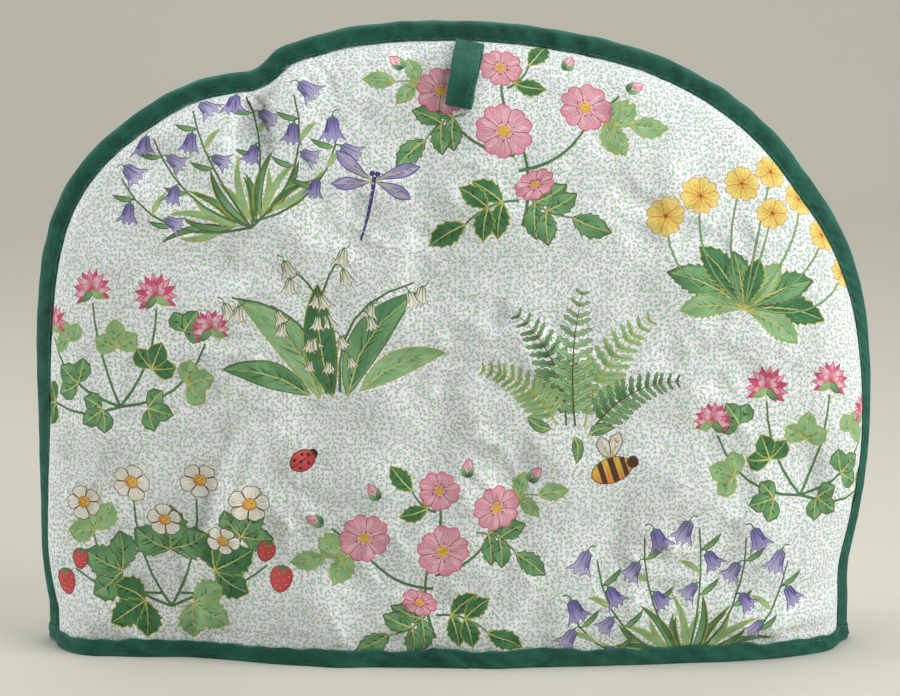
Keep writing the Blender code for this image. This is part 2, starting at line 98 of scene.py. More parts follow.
FRONT_CREASES = (           # the same columns: sharper folds that are only in the cloth
    (-68, 249, -79, 234, 4.5, -3.6), (-79, 234, -86, 216, 4.5, -2.8),
    (-60, 246, -69, 226, 5.5, 2.4), (-91, 232, -96, 212, 6.5, 2.2), (-52, 248, -50, 234, 4, -1.3),
    (-162, 118, -150, 96, 5, 1.8), (-150, 124, -140, 100, 4, -1.6), (-140, 100, -150, 72, 5, 1.4),
    (-158, 84, -146, 66, 4, -1.5), (-92, 94, -104, 58, 4.5, -1.9), (-83, 94, -97, 54, 5, 1.6),
    (-107, 48, -102, 16, 4.2, 1.6), (-114, 46, -108, 16, 4.2, -1.6), (-136, 52, -128, 22, 5, -1.5),
    (-147, 46, -141, 18, 4.5, 1.4), (-53, 26, -46, 8, 4, 1.5), (-60, 24, -54, 8, 4, -1.1),
    (30, 36, 16, 10, 4, 1.5), (22, 36, 9, 12, 4.5, -1.2), (116, 14, 160, 17, 4, 1.6),
    (116, 27, 158, 28, 5, -1.4), (146, 80, 150, 62, 6, -1.6), (158, 96, 140, 82, 5, 1.2),
    (-124, 208, -102, 194, 7, -1.8), (-132, 192, -118, 176, 6, 1.2), (-34, 244, -36, 222, 4, -1.2),
    (-6, 243, -10, 226, 4, 1.2), (74, 240, 66, 222, 5, 1.3), (92, 228, 80, 212, 5, -1.3),
    (128, 204, 112, 190, 6, -1.4), (-60, 150, -88, 96, 9, -1.2), (10, 150, -6, 84, 12, -1.2),
    (66, 60, 60, 22, 7, -1.2), (-136, 196, -140, 120, 24, -2.8), (-76, 190, -82, 120, 15, 2.6),
    (-90, 70, -93, 34, 5, 2.2), (-103, 76, -105, 44, 6, -1.8), (-144, 74, -140, 44, 12, -2),
    (118, 70, 112, 30, 12, -1.4),
)
BACK_CREASES = (
    (-72, 242, -72, 220, 5, 1.5), (88, 90, 98, 52, 5, -1.7), (80, 92, 90, 50, 5, 1.4),
    (104, 46, 98, 16, 4, 1.7), (-116, 52, -104, 18, 5, -1.5), (-34, 30, -28, 8, 4, 1.3),
    (40, 34, 30, 10, 4.5, -1.2), (150, 116, 140, 94, 5, 1.5), (-150, 112, -140, 90, 5, -1.5),
    (118, 206, 102, 192, 6, -1.5), (-20, 150, -4, 84, 12, -1.2), (10, 244, 12, 224, 4.5, 1.2),
)
SIDE_BULGE = (12.0, 15.0, 3.2)          # angle_deg, half_width_deg, height
HEM_RISES = (               # x, half_width, rise
    (-130, 12, 0.5), (-52, 10, 0.6), (-2, 9, 1.2), (34, 10, 1.5), (104, 14, 0.6),
)


def smooth_rows(rows, places):
    """A smooth curve through the rows of a two-column table."""
    at, value = rows[:, 0], rows[:, 1]
    slope = np.gradient(value, at)
    span = np.clip(np.searchsorted(at, places, side="right") - 1, 0, len(at) - 2)
    width = at[span + 1] - at[span]
    t = (places - at[span]) / width
    return (
        (1 + 2 * t) * (1 - t) ** 2 * value[span]
        + t * (1 - t) ** 2 * width * slope[span]
        + t * t * (3 - 2 * t) * value[span + 1]
        + t * t * (t - 1) * width * slope[span + 1]
    )


def smooth_step(t):
    """A soft rise from 0 to 1 as t goes from 0 to 1."""
    t = np.clip(t, 0.0, 1.0)
    return t * t * (3 - 2 * t)


def hill(distance, half_width):
    """A rounded bump of height 1."""
    return np.exp(-((distance / half_width) ** 2))


def line_distance(x, z, x0, z0, x1, z1):
    """Distance of each place from a straight line with two ends."""
    ax, az = x1 - x0, z1 - z0
    share = np.clip(((x - x0) * ax + (z - z0) * az) / (ax * ax + az * az), 0.0, 1.0)
    return np.hypot(x - x0 - share * ax, z - z0 - share * az)


def waves(place, shortest, longest, seed, count=9):
    """Sum of a few cosines of mixed lengths, about -1 to 1."""
    rng = np.random.default_rng(seed)
    total = np.zeros_like(np.asarray(place, float))
    for k in range(count):
        length = shortest * (longest / shortest) ** rng.random()
        total += np.cos(2 * np.pi * (place / length + rng.random()))
    return total / math.sqrt(count / 2) / 1.6


def ripples(x, z, shortest, longest, seed, count=14):
    """The same over a surface, with waves in every direction."""
    rng = np.random.default_rng(seed)
    total = np.zeros_like(np.asarray(x, float))
    for k in range(count):
        length = shortest * (longest / shortest) ** rng.random()
        way = rng.random() * 2 * np.pi
        along = x * math.cos(way) + z * math.sin(way)
        total += np.cos(2 * np.pi * (along / length + rng.random()))
    return total / math.sqrt(count / 2) / 1.6


def running(steps):
    """Distance along a path at each of its points, from the lengths of its steps."""
    return np.concatenate(([0.0], np.cumsum(steps)))


def unit(vectors):
    """Rows scaled to a length of one."""
    return vectors / np.linalg.norm(vectors, axis=-1, keepdims=True)


def new_mesh(name, places, faces):
    """A smooth mesh from places in millimetres."""
    mesh = bpy.data.meshes.new(name)
    mesh.from_pydata(((np.reshape(places, (-1, 3)) - CENTRE) * METRES).tolist(), [], faces)
    mesh.shade_smooth()
    return mesh


def add_object(name, data):
    """An object of this mesh, linked into the scene."""
    thing = bpy.data.objects.new(name, data)
    bpy.context.collection.objects.link(thing)
    return thing


# -------------------------------------------------------------------- seam

class Seam:
    """The arched line that both panels are sewn along, and the fin that stands out from it."""

    def __init__(self):
        angle = np.linspace(0.0, 180.0, 1441)
        radius = smooth_rows(ARCH_EDGE, angle)
        lean = np.radians(smooth_rows(FIN_LEAN, angle))
        edge_x = -radius * np.cos(np.radians(angle))
        edge_z = radius * np.sin(np.radians(angle))
        level = np.clip(np.minimum(angle, 180.0 - angle) / 7.0 - 0.6, 0.0, 1.0)     # 0 by the hem
        out_x, out_z = -np.gradient(edge_z), np.gradient(edge_x) * level
        size = np.hypot(out_x, out_z)
        out_x, out_z = out_x / size, out_z / size
        x = edge_x - out_x * ARCH_FACE * np.cos(lean)
        z = edge_z - out_z * ARCH_FACE * np.cos(lean)
        above = np.flatnonzero(z >= HEM_BEND)
        keep = slice(above[0], above[-1] + 1)
        self.x, self.z = x[keep], z[keep]
        self.out_x, self.out_z = out_x[keep], out_z[keep]
        self.lean = lean[keep]
        self.z[0] = self.z[-1] = HEM_BEND
        self.turn = np.arctan2(self.z - HEM_BEND, self.x)
        self.reach = np.hypot(self.x, self.z - HEM_BEND)
        self.run = running(np.hypot(np.diff(self.x), np.diff(self.z)))
        self.length = self.run[-1]

    def at(self, turn, values):
        """Values of the seam in the direction that a turn from the hem's middle points to."""
        return np.interp(-turn, -self.turn, values)

    def along(self, run, values):
        """Values of the seam at a distance along it."""
        return np.interp(run, self.run, values)

    def fin(self, run, out, across):
        """A point beside the seam: distance along it, out from it and across it."""
        lean = self.along(run, self.lean)
        level = out * np.cos(lean)
        return np.stack((
            self.along(run, self.x) + self.along(run, self.out_x) * level,
            across / np.cos(lean) + out * np.sin(lean),
            self.along(run, self.z) + self.along(run, self.out_z) * level,
        ), axis=-1)


seam = Seam()
NOTCH_RUN = float(seam.at(math.radians(108.4), seam.run))
ARCH_SEEDS = ((-1.0, 11), (1.0, 31))    # side of the seam, seed of its ripples
ARCH_INNER = PANEL_GAP / 2 + SEAM_LAYER + CLEARANCE     # the binding's inner face


# ------------------------------------------------------------------ panels

def flat_polar(u, v):
    """Distance and turn of a place on the flat cloth from the middle of the hem's bend."""
    turn = np.where(v >= 0.0, np.arctan2(v, u), np.where(u >= 0.0, 0.0, np.pi))
    return np.where(v >= 0.0, np.hypot(u, v), np.abs(u)), turn


class Panel:
    """A padded panel and its cloth laid flat. The side is -1 for the front.

    Share is the way from the middle of the hem's bend, at 0, to the seam, at 1.
    """

    def __init__(self, side, folds, creases, seed):
        self.side, self.folds, self.creases, self.seed = side, folds, creases, seed
        self.turns = np.linspace(0.0, np.pi, 541)
        shares = 1.0 - (1.0 - np.linspace(0.0, 1.0, 401)) ** 1.7    # closer near the seam
        turn, share = np.meshgrid(self.turns, shares, indexing="ij")
        away = seam.at(turn, seam.reach) * share + self.bulge(share, turn)
        depth = self.depth(share, turn, SEAM_LAYER)
        step = np.hypot(np.diff(away, axis=1), np.diff(depth, axis=1))
        run = np.array([running(row) for row in step])
        self.total = run[:, -1]
        self.even = np.linspace(0.0, 1.0, 801)
        self.share_of = np.array([
            np.interp(self.even, row / row[-1], shares) for row in run])

    @staticmethod
    def bulge(share, turn):
        """How far the lower left side swells outwards."""
        angle, half_width, height = SIDE_BULGE
        edge = share**BULGE_POWER
        return height * hill(180.0 - np.degrees(turn) - angle, half_width) * 4 * edge * (1 - edge)

    @staticmethod
    def depth(share, turn, layer):
        """Distance from the middle plane of the face that is a layer's thickness in."""
        slant = 1.0 / np.cos(seam.at(turn, seam.lean)) - 1.0
        base = PANEL_GAP / 2 + np.where(layer == SEAM_LAYER, SEAM_LAYER, 0.0)
        puff = SIDE_PUFF + (TOP_PUFF - SIDE_PUFF) * np.sin(turn) ** 2
        rounded = np.sqrt(np.maximum(0.0, 1.0 - share**PUFF_POWER))
        return (
            base * (1.0 + slant * share**PUFF_POWER)
            + (MID_DEPTH - puff) * (1.0 - share**2)
            + (puff - layer + SEAM_LAYER) * rounded
        )

    @staticmethod
    def upright(share, turn):
        """Sideways place and height before the bulge."""
        away = seam.at(turn, seam.reach) * share
        return away * np.cos(turn), HEM_BEND + away * np.sin(turn)

    def fold(self, x, z, share, rows=None):
        """Height of the panel's folds, or of those in other rows."""
        height = sum(row[5] * hill(line_distance(x, z, *row[:4]), row[4])
                     for row in rows or self.folds)
        return height * smooth_step((1.0 - share) / FOLD_FADE)

    def edge(self, turn):
        """Flat distance from the middle of the hem's bend to the seam."""
        return np.interp(turn, self.turns, self.total)

    def locate(self, u, v):
        """Share and turn of a place on the flat cloth."""
        run, turn = flat_polar(u, v)
        row = turn / np.pi * (len(self.turns) - 1)
        low = np.clip(row.astype(int), 0, len(self.turns) - 2)
        column = np.clip(run / self.edge(turn), 0.0, 1.0) * (len(self.even) - 1)
        left = np.clip(column.astype(int), 0, len(self.even) - 2)
        a, b = row - low, column - left
        grid = self.share_of
        share = (
            (1 - a) * ((1 - b) * grid[low, left] + b * grid[low, left + 1])
            + a * ((1 - b) * grid[low + 1, left] + b * grid[low + 1, left + 1])
        )
        return share, turn

    def relief(self, x, z, share, turn):
        """Small forms of the cloth, on top of the main folds."""
        seed = self.seed
        run = seam.at(turn, seam.run)
        inward = (1.0 - share) * seam.at(turn, seam.reach)
        above = z - HEM_TOP

        near_seam = smooth_step(inward / 2.5) * np.exp(-inward / 7.5)
        pull = 0.55 + 0.45 * waves(run, 60.0, 140.0, seed + 1)
        near_notch = (hill(run - NOTCH_RUN, 24.0) * np.exp(-inward / 12.0)
                      * smooth_step(inward / 2.0))
        near_hem = np.exp(-np.maximum(above, 0.0) / 9.0) * smooth_step(inward / 8.0)
        drawn = 0.5 + 0.5 * waves(x, 50.0, 120.0, seed + 4)
        pucker = (
            near_seam * pull * waves(run + 0.35 * inward, 7.0, 15.0, seed + 2) * SEAM_PUCKER
            + near_notch * NOTCH_PUCKER * waves(run - 0.5 * inward, 5.5, 8.5, seed + 3)
            + near_hem * drawn * waves(x + 0.3 * above, 9.0, 20.0, seed + 5) * HEM_PUCKER
        )
        soft = (BROAD_RIPPLE * ripples(x, z, 28.0, 70.0, seed + 6)
                + FINE_RIPPLE * ripples(x, z, 11.0, 22.0, seed + 7))
        patch = smooth_step(0.5 + 0.9 * ripples(x, z, 50.0, 110.0, seed + 8))
        crumple = patch * (0.35 - np.abs(ripples(x, z, 16.0, 42.0, seed + 9)))
        crease = CREASE_GAIN * self.fold(x, z, share, self.creases)
        return pucker + (soft + CRUMPLE * crumple) * smooth_step(inward / 30.0) + crease

    def outside(self, u, v):
        """Place of the printed face over a place on the flat cloth."""
        share, turn = self.locate(u, v)
        x, z = self.upright(share, turn)
        height = np.where(v < 0.0, HEM_BEND + v, z)
        drawn = HEM_DRAW * smooth_step((HEM_BEND - height) / DRAWN_LENGTH) * (1.0 - share**DRAW_POWER)
        depth = self.depth(share, turn, SEAM_LAYER) + self.fold(x, z, share) - drawn
        free = smooth_step((height - HEM_TOP - 0.5) / 3.0)      # 0 under the hem binding
        depth = depth + self.relief(x, height, share, turn) * free
        side = self.bulge(share, turn)
        return np.stack((x + side * np.cos(turn), self.side * depth,
                         height + np.where(v < 0.0, 0.0, side * np.sin(turn))), axis=-1)

    def inside(self, u, v):
        """Place of the panel's plain back over a place on the flat cloth."""
        share, turn = self.locate(u, v)
        x, z = self.upright(share, turn)
        low = smooth_step(-v / DRAWN_LENGTH)
        wall = WALL + (HEM_LAYER - WALL) * low
        inset = WALL_INSET + (HEM_LAYER - WALL_INSET) * low
        shrink = 1.0 - inset / seam.at(turn, seam.reach)
        depth = self.depth(share, turn, wall) + self.fold(x, z, share)
        height = np.where(v < 0.0, HEM_BEND + v, HEM_BEND + (z - HEM_BEND) * shrink)
        return np.stack((x * shrink, self.side * depth, height), axis=-1)


front = Panel(-1.0, FRONT_FOLDS, FRONT_CREASES, 100)
back = Panel(1.0, BACK_FOLDS, BACK_CREASES, 200)


# ------------------------------------------------------------ printed pattern

def srgb(red, green, blue):
    """Linear colour from screen values of 0 to 255."""
    return tuple(
        c / 12.92 if c <= 0.04045 else ((c + 0.055) / 1.055) ** 2.4
        for c in (red / 255, green / 255, blue / 255)
    )


PALE_GREEN, LIGHT_GREEN = srgb(172, 208, 158), srgb(138, 186, 134)
MID_GREEN, DARK_GREEN = srgb(86, 142, 96), srgb(38, 82, 56)
LIME, OLIVE, BROWN = srgb(188, 188, 62), srgb(104, 98, 44), srgb(122, 76, 56)
BLUSH, PINK, DEEP_PINK = srgb(252, 222, 228), srgb(240, 156, 182), srgb(214, 70, 122)
LILAC, VIOLET, DARK_VIOLET = srgb(198, 190, 228), srgb(146, 132, 198), srgb(84, 70, 140)
CREAM, PRIMROSE, YELLOW = srgb(250, 247, 238), srgb(250, 232, 146), srgb(246, 204, 84)
ORANGE, RUST, ROSE_RED = srgb(234, 150, 78), srgb(184, 96, 56), srgb(212, 70, 84)
RIB, GARNET, SOOT, BARK = srgb(206, 206, 128), srgb(112, 42, 48), srgb(70, 50, 52), srgb(92, 62, 48)

# Leaf tones: light, middle, dark, edge. Petal tones: inner, outer, edge, rays.
FRESH = (PALE_GREEN, LIGHT_GREEN, MID_GREEN, LIME)
LEAFY = (LIGHT_GREEN, MID_GREEN, DARK_GREEN, OLIVE)
DEEP = (MID_GREEN, srgb(62, 116, 76), srgb(30, 68, 48), LIME)
WING = (LILAC, VIOLET, DARK_VIOLET, DARK_VIOLET)
ROSY, ROSY_DARK = (BLUSH, PINK, DEEP_PINK, DEEP_PINK), (PINK, DEEP_PINK, DEEP_PINK, DEEP_PINK)
BLUE_BELL = (LILAC, VIOLET, DARK_VIOLET)
DEEP_BELL = (srgb(176, 166, 218), srgb(122, 106, 184), DARK_VIOLET)


def left_of(along):
    """Unit vectors to the left of each step."""
    size = np.maximum(np.hypot(along[:, 0], along[:, 1]), 1e-6)
    return np.stack((-along[:, 1], along[:, 0]), axis=1) / size[:, None]


class Art:
    """Flat shapes in the order they are printed, in millimetres on the cloth."""

    def __init__(self, seed):
        self.shapes = []
        self.rng = np.random.default_rng(seed)
        self.set_place(0.0, 0.0)

    def set_place(self, x, y, angle=0.0, scale=1.0, flip=False):
        """Where the next motif goes, how it is turned, its size and whether it is mirrored."""
        turn = math.radians(angle)
        self.matrix = scale * np.array((
            (math.cos(turn), -math.sin(turn)), (math.sin(turn), math.cos(turn))))
        if flip:
            self.matrix = self.matrix @ np.diag((-1.0, 1.0))
        self.origin = np.array((x, y))

    def fill(self, points, colour, far=None, start=(0.0, 0.0), end=(1.0, 0.0)):
        """A filled outline. Its colour fades from the start to the end into the far one."""
        move = [np.asarray(p, float) @ self.matrix.T + self.origin
                for p in (points, start, end)]
        self.shapes.append((*move, colour, colour if far is None else far))

    def line(self, points, width, colour, tip=0.5):
        """A stroke that thins to its far end."""
        points = np.asarray(points, float)
        half = np.linspace(width, width * tip, len(points))[:, None] / 2
        off = left_of(np.gradient(points, axis=0)) * half
        self.fill(np.concatenate((points + off, (points - off)[::-1])), colour)

    def shape(self, points, colour, edge, width, **fade):
        """A filled shape with a drawn edge."""
        points = np.asarray(points, float)
        after, before = np.roll(points, -1, axis=0), np.roll(points, 1, axis=0)
        area = np.sum(points[:, 0] * after[:, 1] - points[:, 1] * after[:, 0])
        grow = -left_of(after - before) * (width / 2 * np.sign(area))
        self.fill(points + grow, edge)
        self.fill(points - grow, colour, **fade)

    def dot(self, x, y, radius, colour, sides=7):
        turn = np.arange(sides) * 2 * np.pi / sides + x
        self.fill(np.stack((x + radius * np.cos(turn), y + radius * np.sin(turn)), axis=1), colour)


def arc(x0, y0, x1, y1, bend=0.0, count=12):
    """A bowed line between two points. The bend is a share of its length."""
    t = np.linspace(0.0, 1.0, count)[:, None]
    a, b = np.array((x0, y0)), np.array((x1, y1))
    normal = np.array((a[1] - b[1], b[0] - a[0]))
    return a + (b - a) * t + normal * bend * 4 * t * (1 - t)


def turned(points, x, y, angle):
    """Points turned by an angle in degrees and then moved."""
    c, s = math.cos(math.radians(angle)), math.sin(math.radians(angle))
    return np.asarray(points, float) @ np.array(((c, s), (-s, c))) + (x, y)


def placer(x, y, angle, squash=1.0):
    """A function that puts a motif's own points in their place."""
    def put(*points):
        flat = np.asarray(points[0] if len(points) == 1 else points, float)
        return turned(flat * (1.0, squash), x, y, angle)
    return put


def ring(count):
    """Angles evenly round a circle."""
    return np.linspace(0, 2 * np.pi, count + 1)[:-1]


def oval(count, wide, high=None):
    """A closed oval round the origin."""
    turn = ring(count)
    return np.stack((wide * np.cos(turn), (wide if high is None else high) * np.sin(turn)), axis=1)


def polar(radius, angle):
    """A place from its distance and its angle."""
    return radius * math.cos(angle), radius * math.sin(angle)


def leaf(art, x, y, angle, length, width, tones, bend=0.1, teeth=0, fat=0.42):
    """A leaf from its stalk. Fat is where it is widest, as a share of its length."""
    light, mid, dark, edge = tones
    if teeth:
        t = np.concatenate(([0.0], np.sort(np.concatenate(
            [(np.arange(teeth) + k) / teeth for k in (0.08, 0.94)])), [1.0]))
    else:
        t = np.linspace(0.0, 1.0, int(np.clip(length / 3.0, 4, 13)) + 1)
    power = math.log(0.5) / math.log(fat)

    def half(s):
        return width / 2 * np.sin(np.pi * np.clip(s, 0, 1) ** power) ** 0.85

    def axis(s, off=0.0):
        """A place beside the leaf's bowed rib."""
        s, off = np.asarray(s, float), np.asarray(off, float)
        slope = bend * 4 * (1 - 2 * s)
        size = np.sqrt(1 + slope**2)
        flat = np.stack((length * s - off * slope / size,
                         length * bend * 4 * s * (1 - s) + off / size), axis=-1)
        return turned(flat, x, y, angle)

    jag = 0.84 + 0.26 * ((t * teeth) % 1.0) if teeth else 1.0
    rim = half(t) * jag
    base, tip = axis(0.0), axis(1.0)
    outline = np.concatenate((axis(t, rim), axis(t, -rim)[::-1][1:-1]))
    if length < 7.0:
        art.fill(outline, light, far=dark, start=tip, end=base)
        return
    art.shape(outline, light, edge, 0.42, far=mid, start=base, end=tip)
    if width < 4.0:
        return
    s = np.linspace(0.05, 0.95, int(np.clip(length / 5.0, 4, 7)))
    art.fill(np.concatenate((axis(s), axis(s[1:-1], -0.84 * half(s[1:-1]))[::-1])), mid,
             far=light, start=base, end=tip)
    for side, pitch in ((-1.0, 3.6), (1.0, 6.0)):
        count = int(length / pitch) if length > 10.0 else 1
        for k in range(count):
            root = 0.04 + 0.84 * (k + 0.6 * art.rng.random()) / count
            far = min(0.97, root + 0.10 + 0.12 * art.rng.random())
            reach = half(far) * side * (0.45 + 0.42 * art.rng.random())
            thick = 0.62 / length
            art.fill([axis(root - thick), axis(far, reach), axis(root + thick)], dark,
                     far=mid, start=axis(root), end=axis(far, reach))
    if length > 9.0:
        art.line(axis(np.linspace(0.0, 0.95, 4)), 0.8, RIB, 0.35)


def stem(art, *path, width=1.0, colour=MID_GREEN):
    """A bowed stem. It gives back the places along it."""
    points = arc(*path, count=14)
    art.line(points[::2], width + 0.4, OLIVE, 0.7)
    art.line(points[::2], width, colour, 0.6)
    return points


def petals(art, put, radius, tones, turn, notch, rays, gap=0.99, count=5):
    """A flat open flower with rounded petals that are notched at their tips."""
    inner, outer, edge, ray = tones
    phi = np.linspace(-1.0, 1.0, 9)
    spread = math.pi / count * gap
    for k in range(count):
        mid = math.radians(turn) + 2 * math.pi * k / count
        size = radius * (0.94 + 0.12 * art.rng.random())
        rim = size * (1.0 - 0.2 * np.abs(phi) ** 3.0 - notch * hill(phi, 0.22))
        way = mid + phi * spread
        rim_points = np.stack((rim * np.cos(way), rim * np.sin(way)), axis=1)
        left = np.array((0.15, 0.65))[:, None] * rim_points[:1]
        right = np.array((0.65, 0.15))[:, None] * rim_points[-1:]
        fade = {"start": put((0.0, 0.0)), "end": put(polar(size, mid))}
        art.shape(put(np.concatenate((left, rim_points, right))), inner, edge, 0.36, far=outer,
                  **fade)
        for r in range(rays):
            off = ((r + 0.5) / rays - 0.5) * 1.3 * spread
            a = np.array((math.cos(mid + off), math.sin(mid + off)))
            art.line([put(a * size * 0.26), put(a * size * (0.66 + 0.16 * art.rng.random()))],
                     0.3, ray, 0.3)
        shaded = put((0.0, 0.0), polar(0.7 * size, mid + spread * 0.45),
                     polar(0.86 * size, mid + spread * 0.72))
        art.fill(shaded, outer, far=inner, **fade)


def rose(art, x, y, radius, turn=0.0, squash=1.0, tilt=0.0):
    """Open pink rose with a golden middle."""
    put = placer(x, y, tilt, squash)
    petals(art, put, radius, ROSY, turn, notch=0.13, rays=5)
    art.shape(put(oval(9, 0.2 * radius)), YELLOW, ORANGE, 0.3)
    for a in ring(9) + 0.2:
        reach = radius * (0.26 + 0.12 * art.rng.random())
        art.line(put(polar(0.1 * reach, a), polar(reach, a)), 0.2, ORANGE)
        art.dot(*put(polar(reach, a)), 0.42, BROWN, 4)


def blossom(art, x, y, radius, turn=0.0, squash=1.0, tilt=0.0):
    """White flower with a domed golden middle."""
    put = placer(x, y, tilt, squash)
    petals(art, put, radius, (CREAM, CREAM, BROWN, srgb(206, 186, 176)), turn, notch=0.03,
           rays=3, gap=0.94)
    lit = 0.3 * radius
    art.shape(put(oval(10, 0.34 * radius)), YELLOW, RUST, 0.3, far=ORANGE,
              start=put((-lit, lit)), end=put((lit, -lit)))
    for k in range(9):
        place = polar(0.3 * radius * math.sqrt((k + 0.5) / 9), k * 2.4)
        art.dot(*put(place), 0.34, RUST if k % 2 else PRIMROSE, 4)


def cowslip(art, x, y, radius, turn=0.0, squash=1.0, tilt=0.0):
    """Small yellow flower with a starred middle."""
    put = placer(x, y, tilt, squash)
    petals(art, put, radius, (YELLOW, PRIMROSE, ORANGE, ORANGE), turn, notch=0.16, rays=2,
           gap=0.98)
    art.fill(put(oval(10, radius * np.where(np.arange(10) % 2, 0.14, 0.34))), ORANGE)
    art.dot(*put((0.0, 0.0)), 0.7, OLIVE, 6)


def bell(art, x, y, angle, size, tones):
    """A hanging bell with a lobed rim. The angle points from its top to its mouth."""
    light, mid, dark = tones
    put = placer(x, y, angle)
    side = [(0.0, 0.0), (0.12, 0.22), (0.66, 0.33), (1.08, 0.62)]
    rim = [(0.9, 0.3), (1.14, 0.12), (0.9, 0.0), (1.14, -0.12), (0.9, -0.3)]
    outline = np.array(side + rim + [(a, -b) for a, b in side[:0:-1]]) * size
    fade = {"start": put((0, 0)), "end": put((size, 0))}
    art.shape(put(outline), mid, dark, 0.36, far=light, **fade)
    for off in (-0.16, 0.14):
        art.line(put((0.08 * size, off * 0.3 * size), (0.9 * size, off * 1.3 * size)),
                 0.35, dark, 0.4)
    art.fill(put((0.1 * size, -0.2 * size), (0.7 * size, -0.33 * size), (0.7 * size, -0.16 * size)),
             dark, far=mid, **fade)
    for off in (-24.0, 24.0):
        art.line(put((-0.05 * size, 0.0), turned((0.26 * size, 0.0), 0, 0, off)),
                 0.9, MID_GREEN, 0.2)


def strawberry(art, x, y, size, angle=-90.0):
    """A berry with its seeds and crown."""
    put = placer(x, y, angle)
    t = np.linspace(0.0, np.pi, 9)
    half = np.stack((0.45 - 0.6 * np.cos(t), 0.52 * np.sin(t) * (1.15 - 0.45 * t / np.pi)), 1)
    outline = np.concatenate((half, half[-2:0:-1] * (1, -1))) * size
    art.shape(put(outline), srgb(228, 98, 104), srgb(150, 40, 60), 0.36, far=ROSE_RED,
              start=put((0, size)), end=put((0, -size)))
    for k in range(9):      # seeds
        a = 0.12 + 0.09 * k
        w = 0.34 * math.sin(math.pi * min(1.0, a * 0.95 + 0.12)) * (1 if k % 2 else -1)
        art.dot(*put((a * size, w * size * (0.4 + 0.6 * ((k // 2) % 2)))), 0.34, YELLOW, 4)
    crown = (-0.12 * size, 0.0)
    for a in (-75, -35, 0, 35, 75):
        art.line(put(crown, turned((0.42 * size, 0.0), *crown, a)), 1.1, MID_GREEN, 0.15)


def trefoil(art, x, y, angle, length, width, tones, teeth=6):
    """Three leaves from one stalk."""
    for off in (62.0, -62.0, 0.0):
        leaf(art, x, y, angle + off, length * (1.0 if off == 0 else 0.88), width, tones,
             0.05 * np.sign(off), teeth, 0.55)


def pinnate(art, x, y, angle, length, size, pairs, tones, bend=0.12, teeth=5):
    """Pairs of leaflets along a rib, and one at its end."""
    rib = turned(arc(0, 0, length, 0, bend, 20), x, y, angle)
    art.line(rib, 1.1, OLIVE, 0.6)
    art.line(rib, 0.7, tones[0], 0.5)
    for k in range(pairs):
        where = rib[int((0.3 + 0.55 * k / pairs) * 19)]
        for off in (58.0, -58.0):
            leaf(art, *where, angle + off, size * (1.0 - 0.06 * k), size * 0.58, tones, 0.04,
                 teeth, 0.5)
    leaf(art, *rib[-1], angle - 8, size * 1.15, size * 0.66, tones, 0.03, teeth, 0.5)


def frond(art, x, y, angle, length, width, tones, bend=0.15, pairs=12):
    """A fern's rib with toothed leaflets that get shorter towards its tip."""
    light, mid, dark, edge = tones
    put = placer(x, y, angle)
    rib = arc(0, 0, length, 0, bend, 40)
    for k in range(pairs):
        t = 0.12 + 0.86 * k / pairs
        i = int(t * 39)
        way = math.degrees(math.atan2(*(rib[min(i + 1, 39)] - rib[i - 1])[::-1]))
        size = width * (1.0 - t) ** 0.75 * min(1.0, 0.55 + 3.0 * t) + 1.6
        teeth = max(2, int(size / 2.6))
        s = np.linspace(0.0, 1.0, 2 * teeth + 1)
        saw = np.where(np.arange(2 * teeth + 1) % 2, 1.25, 0.62) * 0.15 * size * np.sin(
            np.pi * (0.12 + 0.88 * s)) ** 0.6
        outline = np.concatenate((np.stack((s * size, saw), 1),
                                  np.stack((s * size, -saw), 1)[::-1]))
        for side, colour in ((1, mid), (-1, light)):
            a, b = put(turned([(0, 0), (size, 0)], *rib[i], way + side * 62))
            art.shape(put(turned(outline, *rib[i], way + side * 62)), colour, edge, 0.26,
                      far=light, start=a, end=b)
            art.line([a, b], 0.3, dark, 0.3)
    art.line(put(rib[::4]), 0.9, edge, 0.3)


# Sprays. Stems are x0, y0, x1, y1, bend; leaves and flowers are x, y, angle or radius, sizes.

def draw_all(art, make, rows, **settings):
    """The same motif once for each row of places and sizes."""
    for row in rows:
        make(art, *row, **settings)


def dog_rose_spray(art):
    draw_all(art, stem, (
        (-4, -36, 2, 4, 0.1), (-1, -14, -30, 12, 0.14), (1, -8, 34, 14, -0.14),
        (2, 4, 8, 28, -0.1), (-22, 8, -42, 22, 0.1), (30, 12, 46, 24, -0.12)))
    draw_all(art, pinnate, (
        (-4, -22, 205, 22, 15, 2, LEAFY), (-2, -26, -28, 24, 15, 2, DEEP),
        (-32, 10, 188, 14, 14, 2, FRESH), (22, 8, -38, 20, 14, 2, LEAFY),
        (6, 20, 128, 14, 13, 1, DEEP), (40, 18, 8, 12, 12, 1, FRESH)))
    draw_all(art, rose, (
        (-27, 14, 11.5, 20), (6, 2, 12.5, 50), (33, 17, 11.0, 0), (9, 29, 9.5, 35)),
        squash=0.9, tilt=20)
    rose(art, -8, -19, 8.5, 10, 0.7, -30)
    for x, y, a in ((-44, 23, 150), (49, 26, 40), (22, 33, 70), (-18, 30, 110)):    # buds
        leaf(art, x, y, a, 8.5, 5.2, ROSY, 0.0)
        leaf(art, x, y, a + 24, 5.5, 2.6, FRESH, 0.1)
        leaf(art, x, y, a - 24, 5.5, 2.6, LEAFY, -0.1)


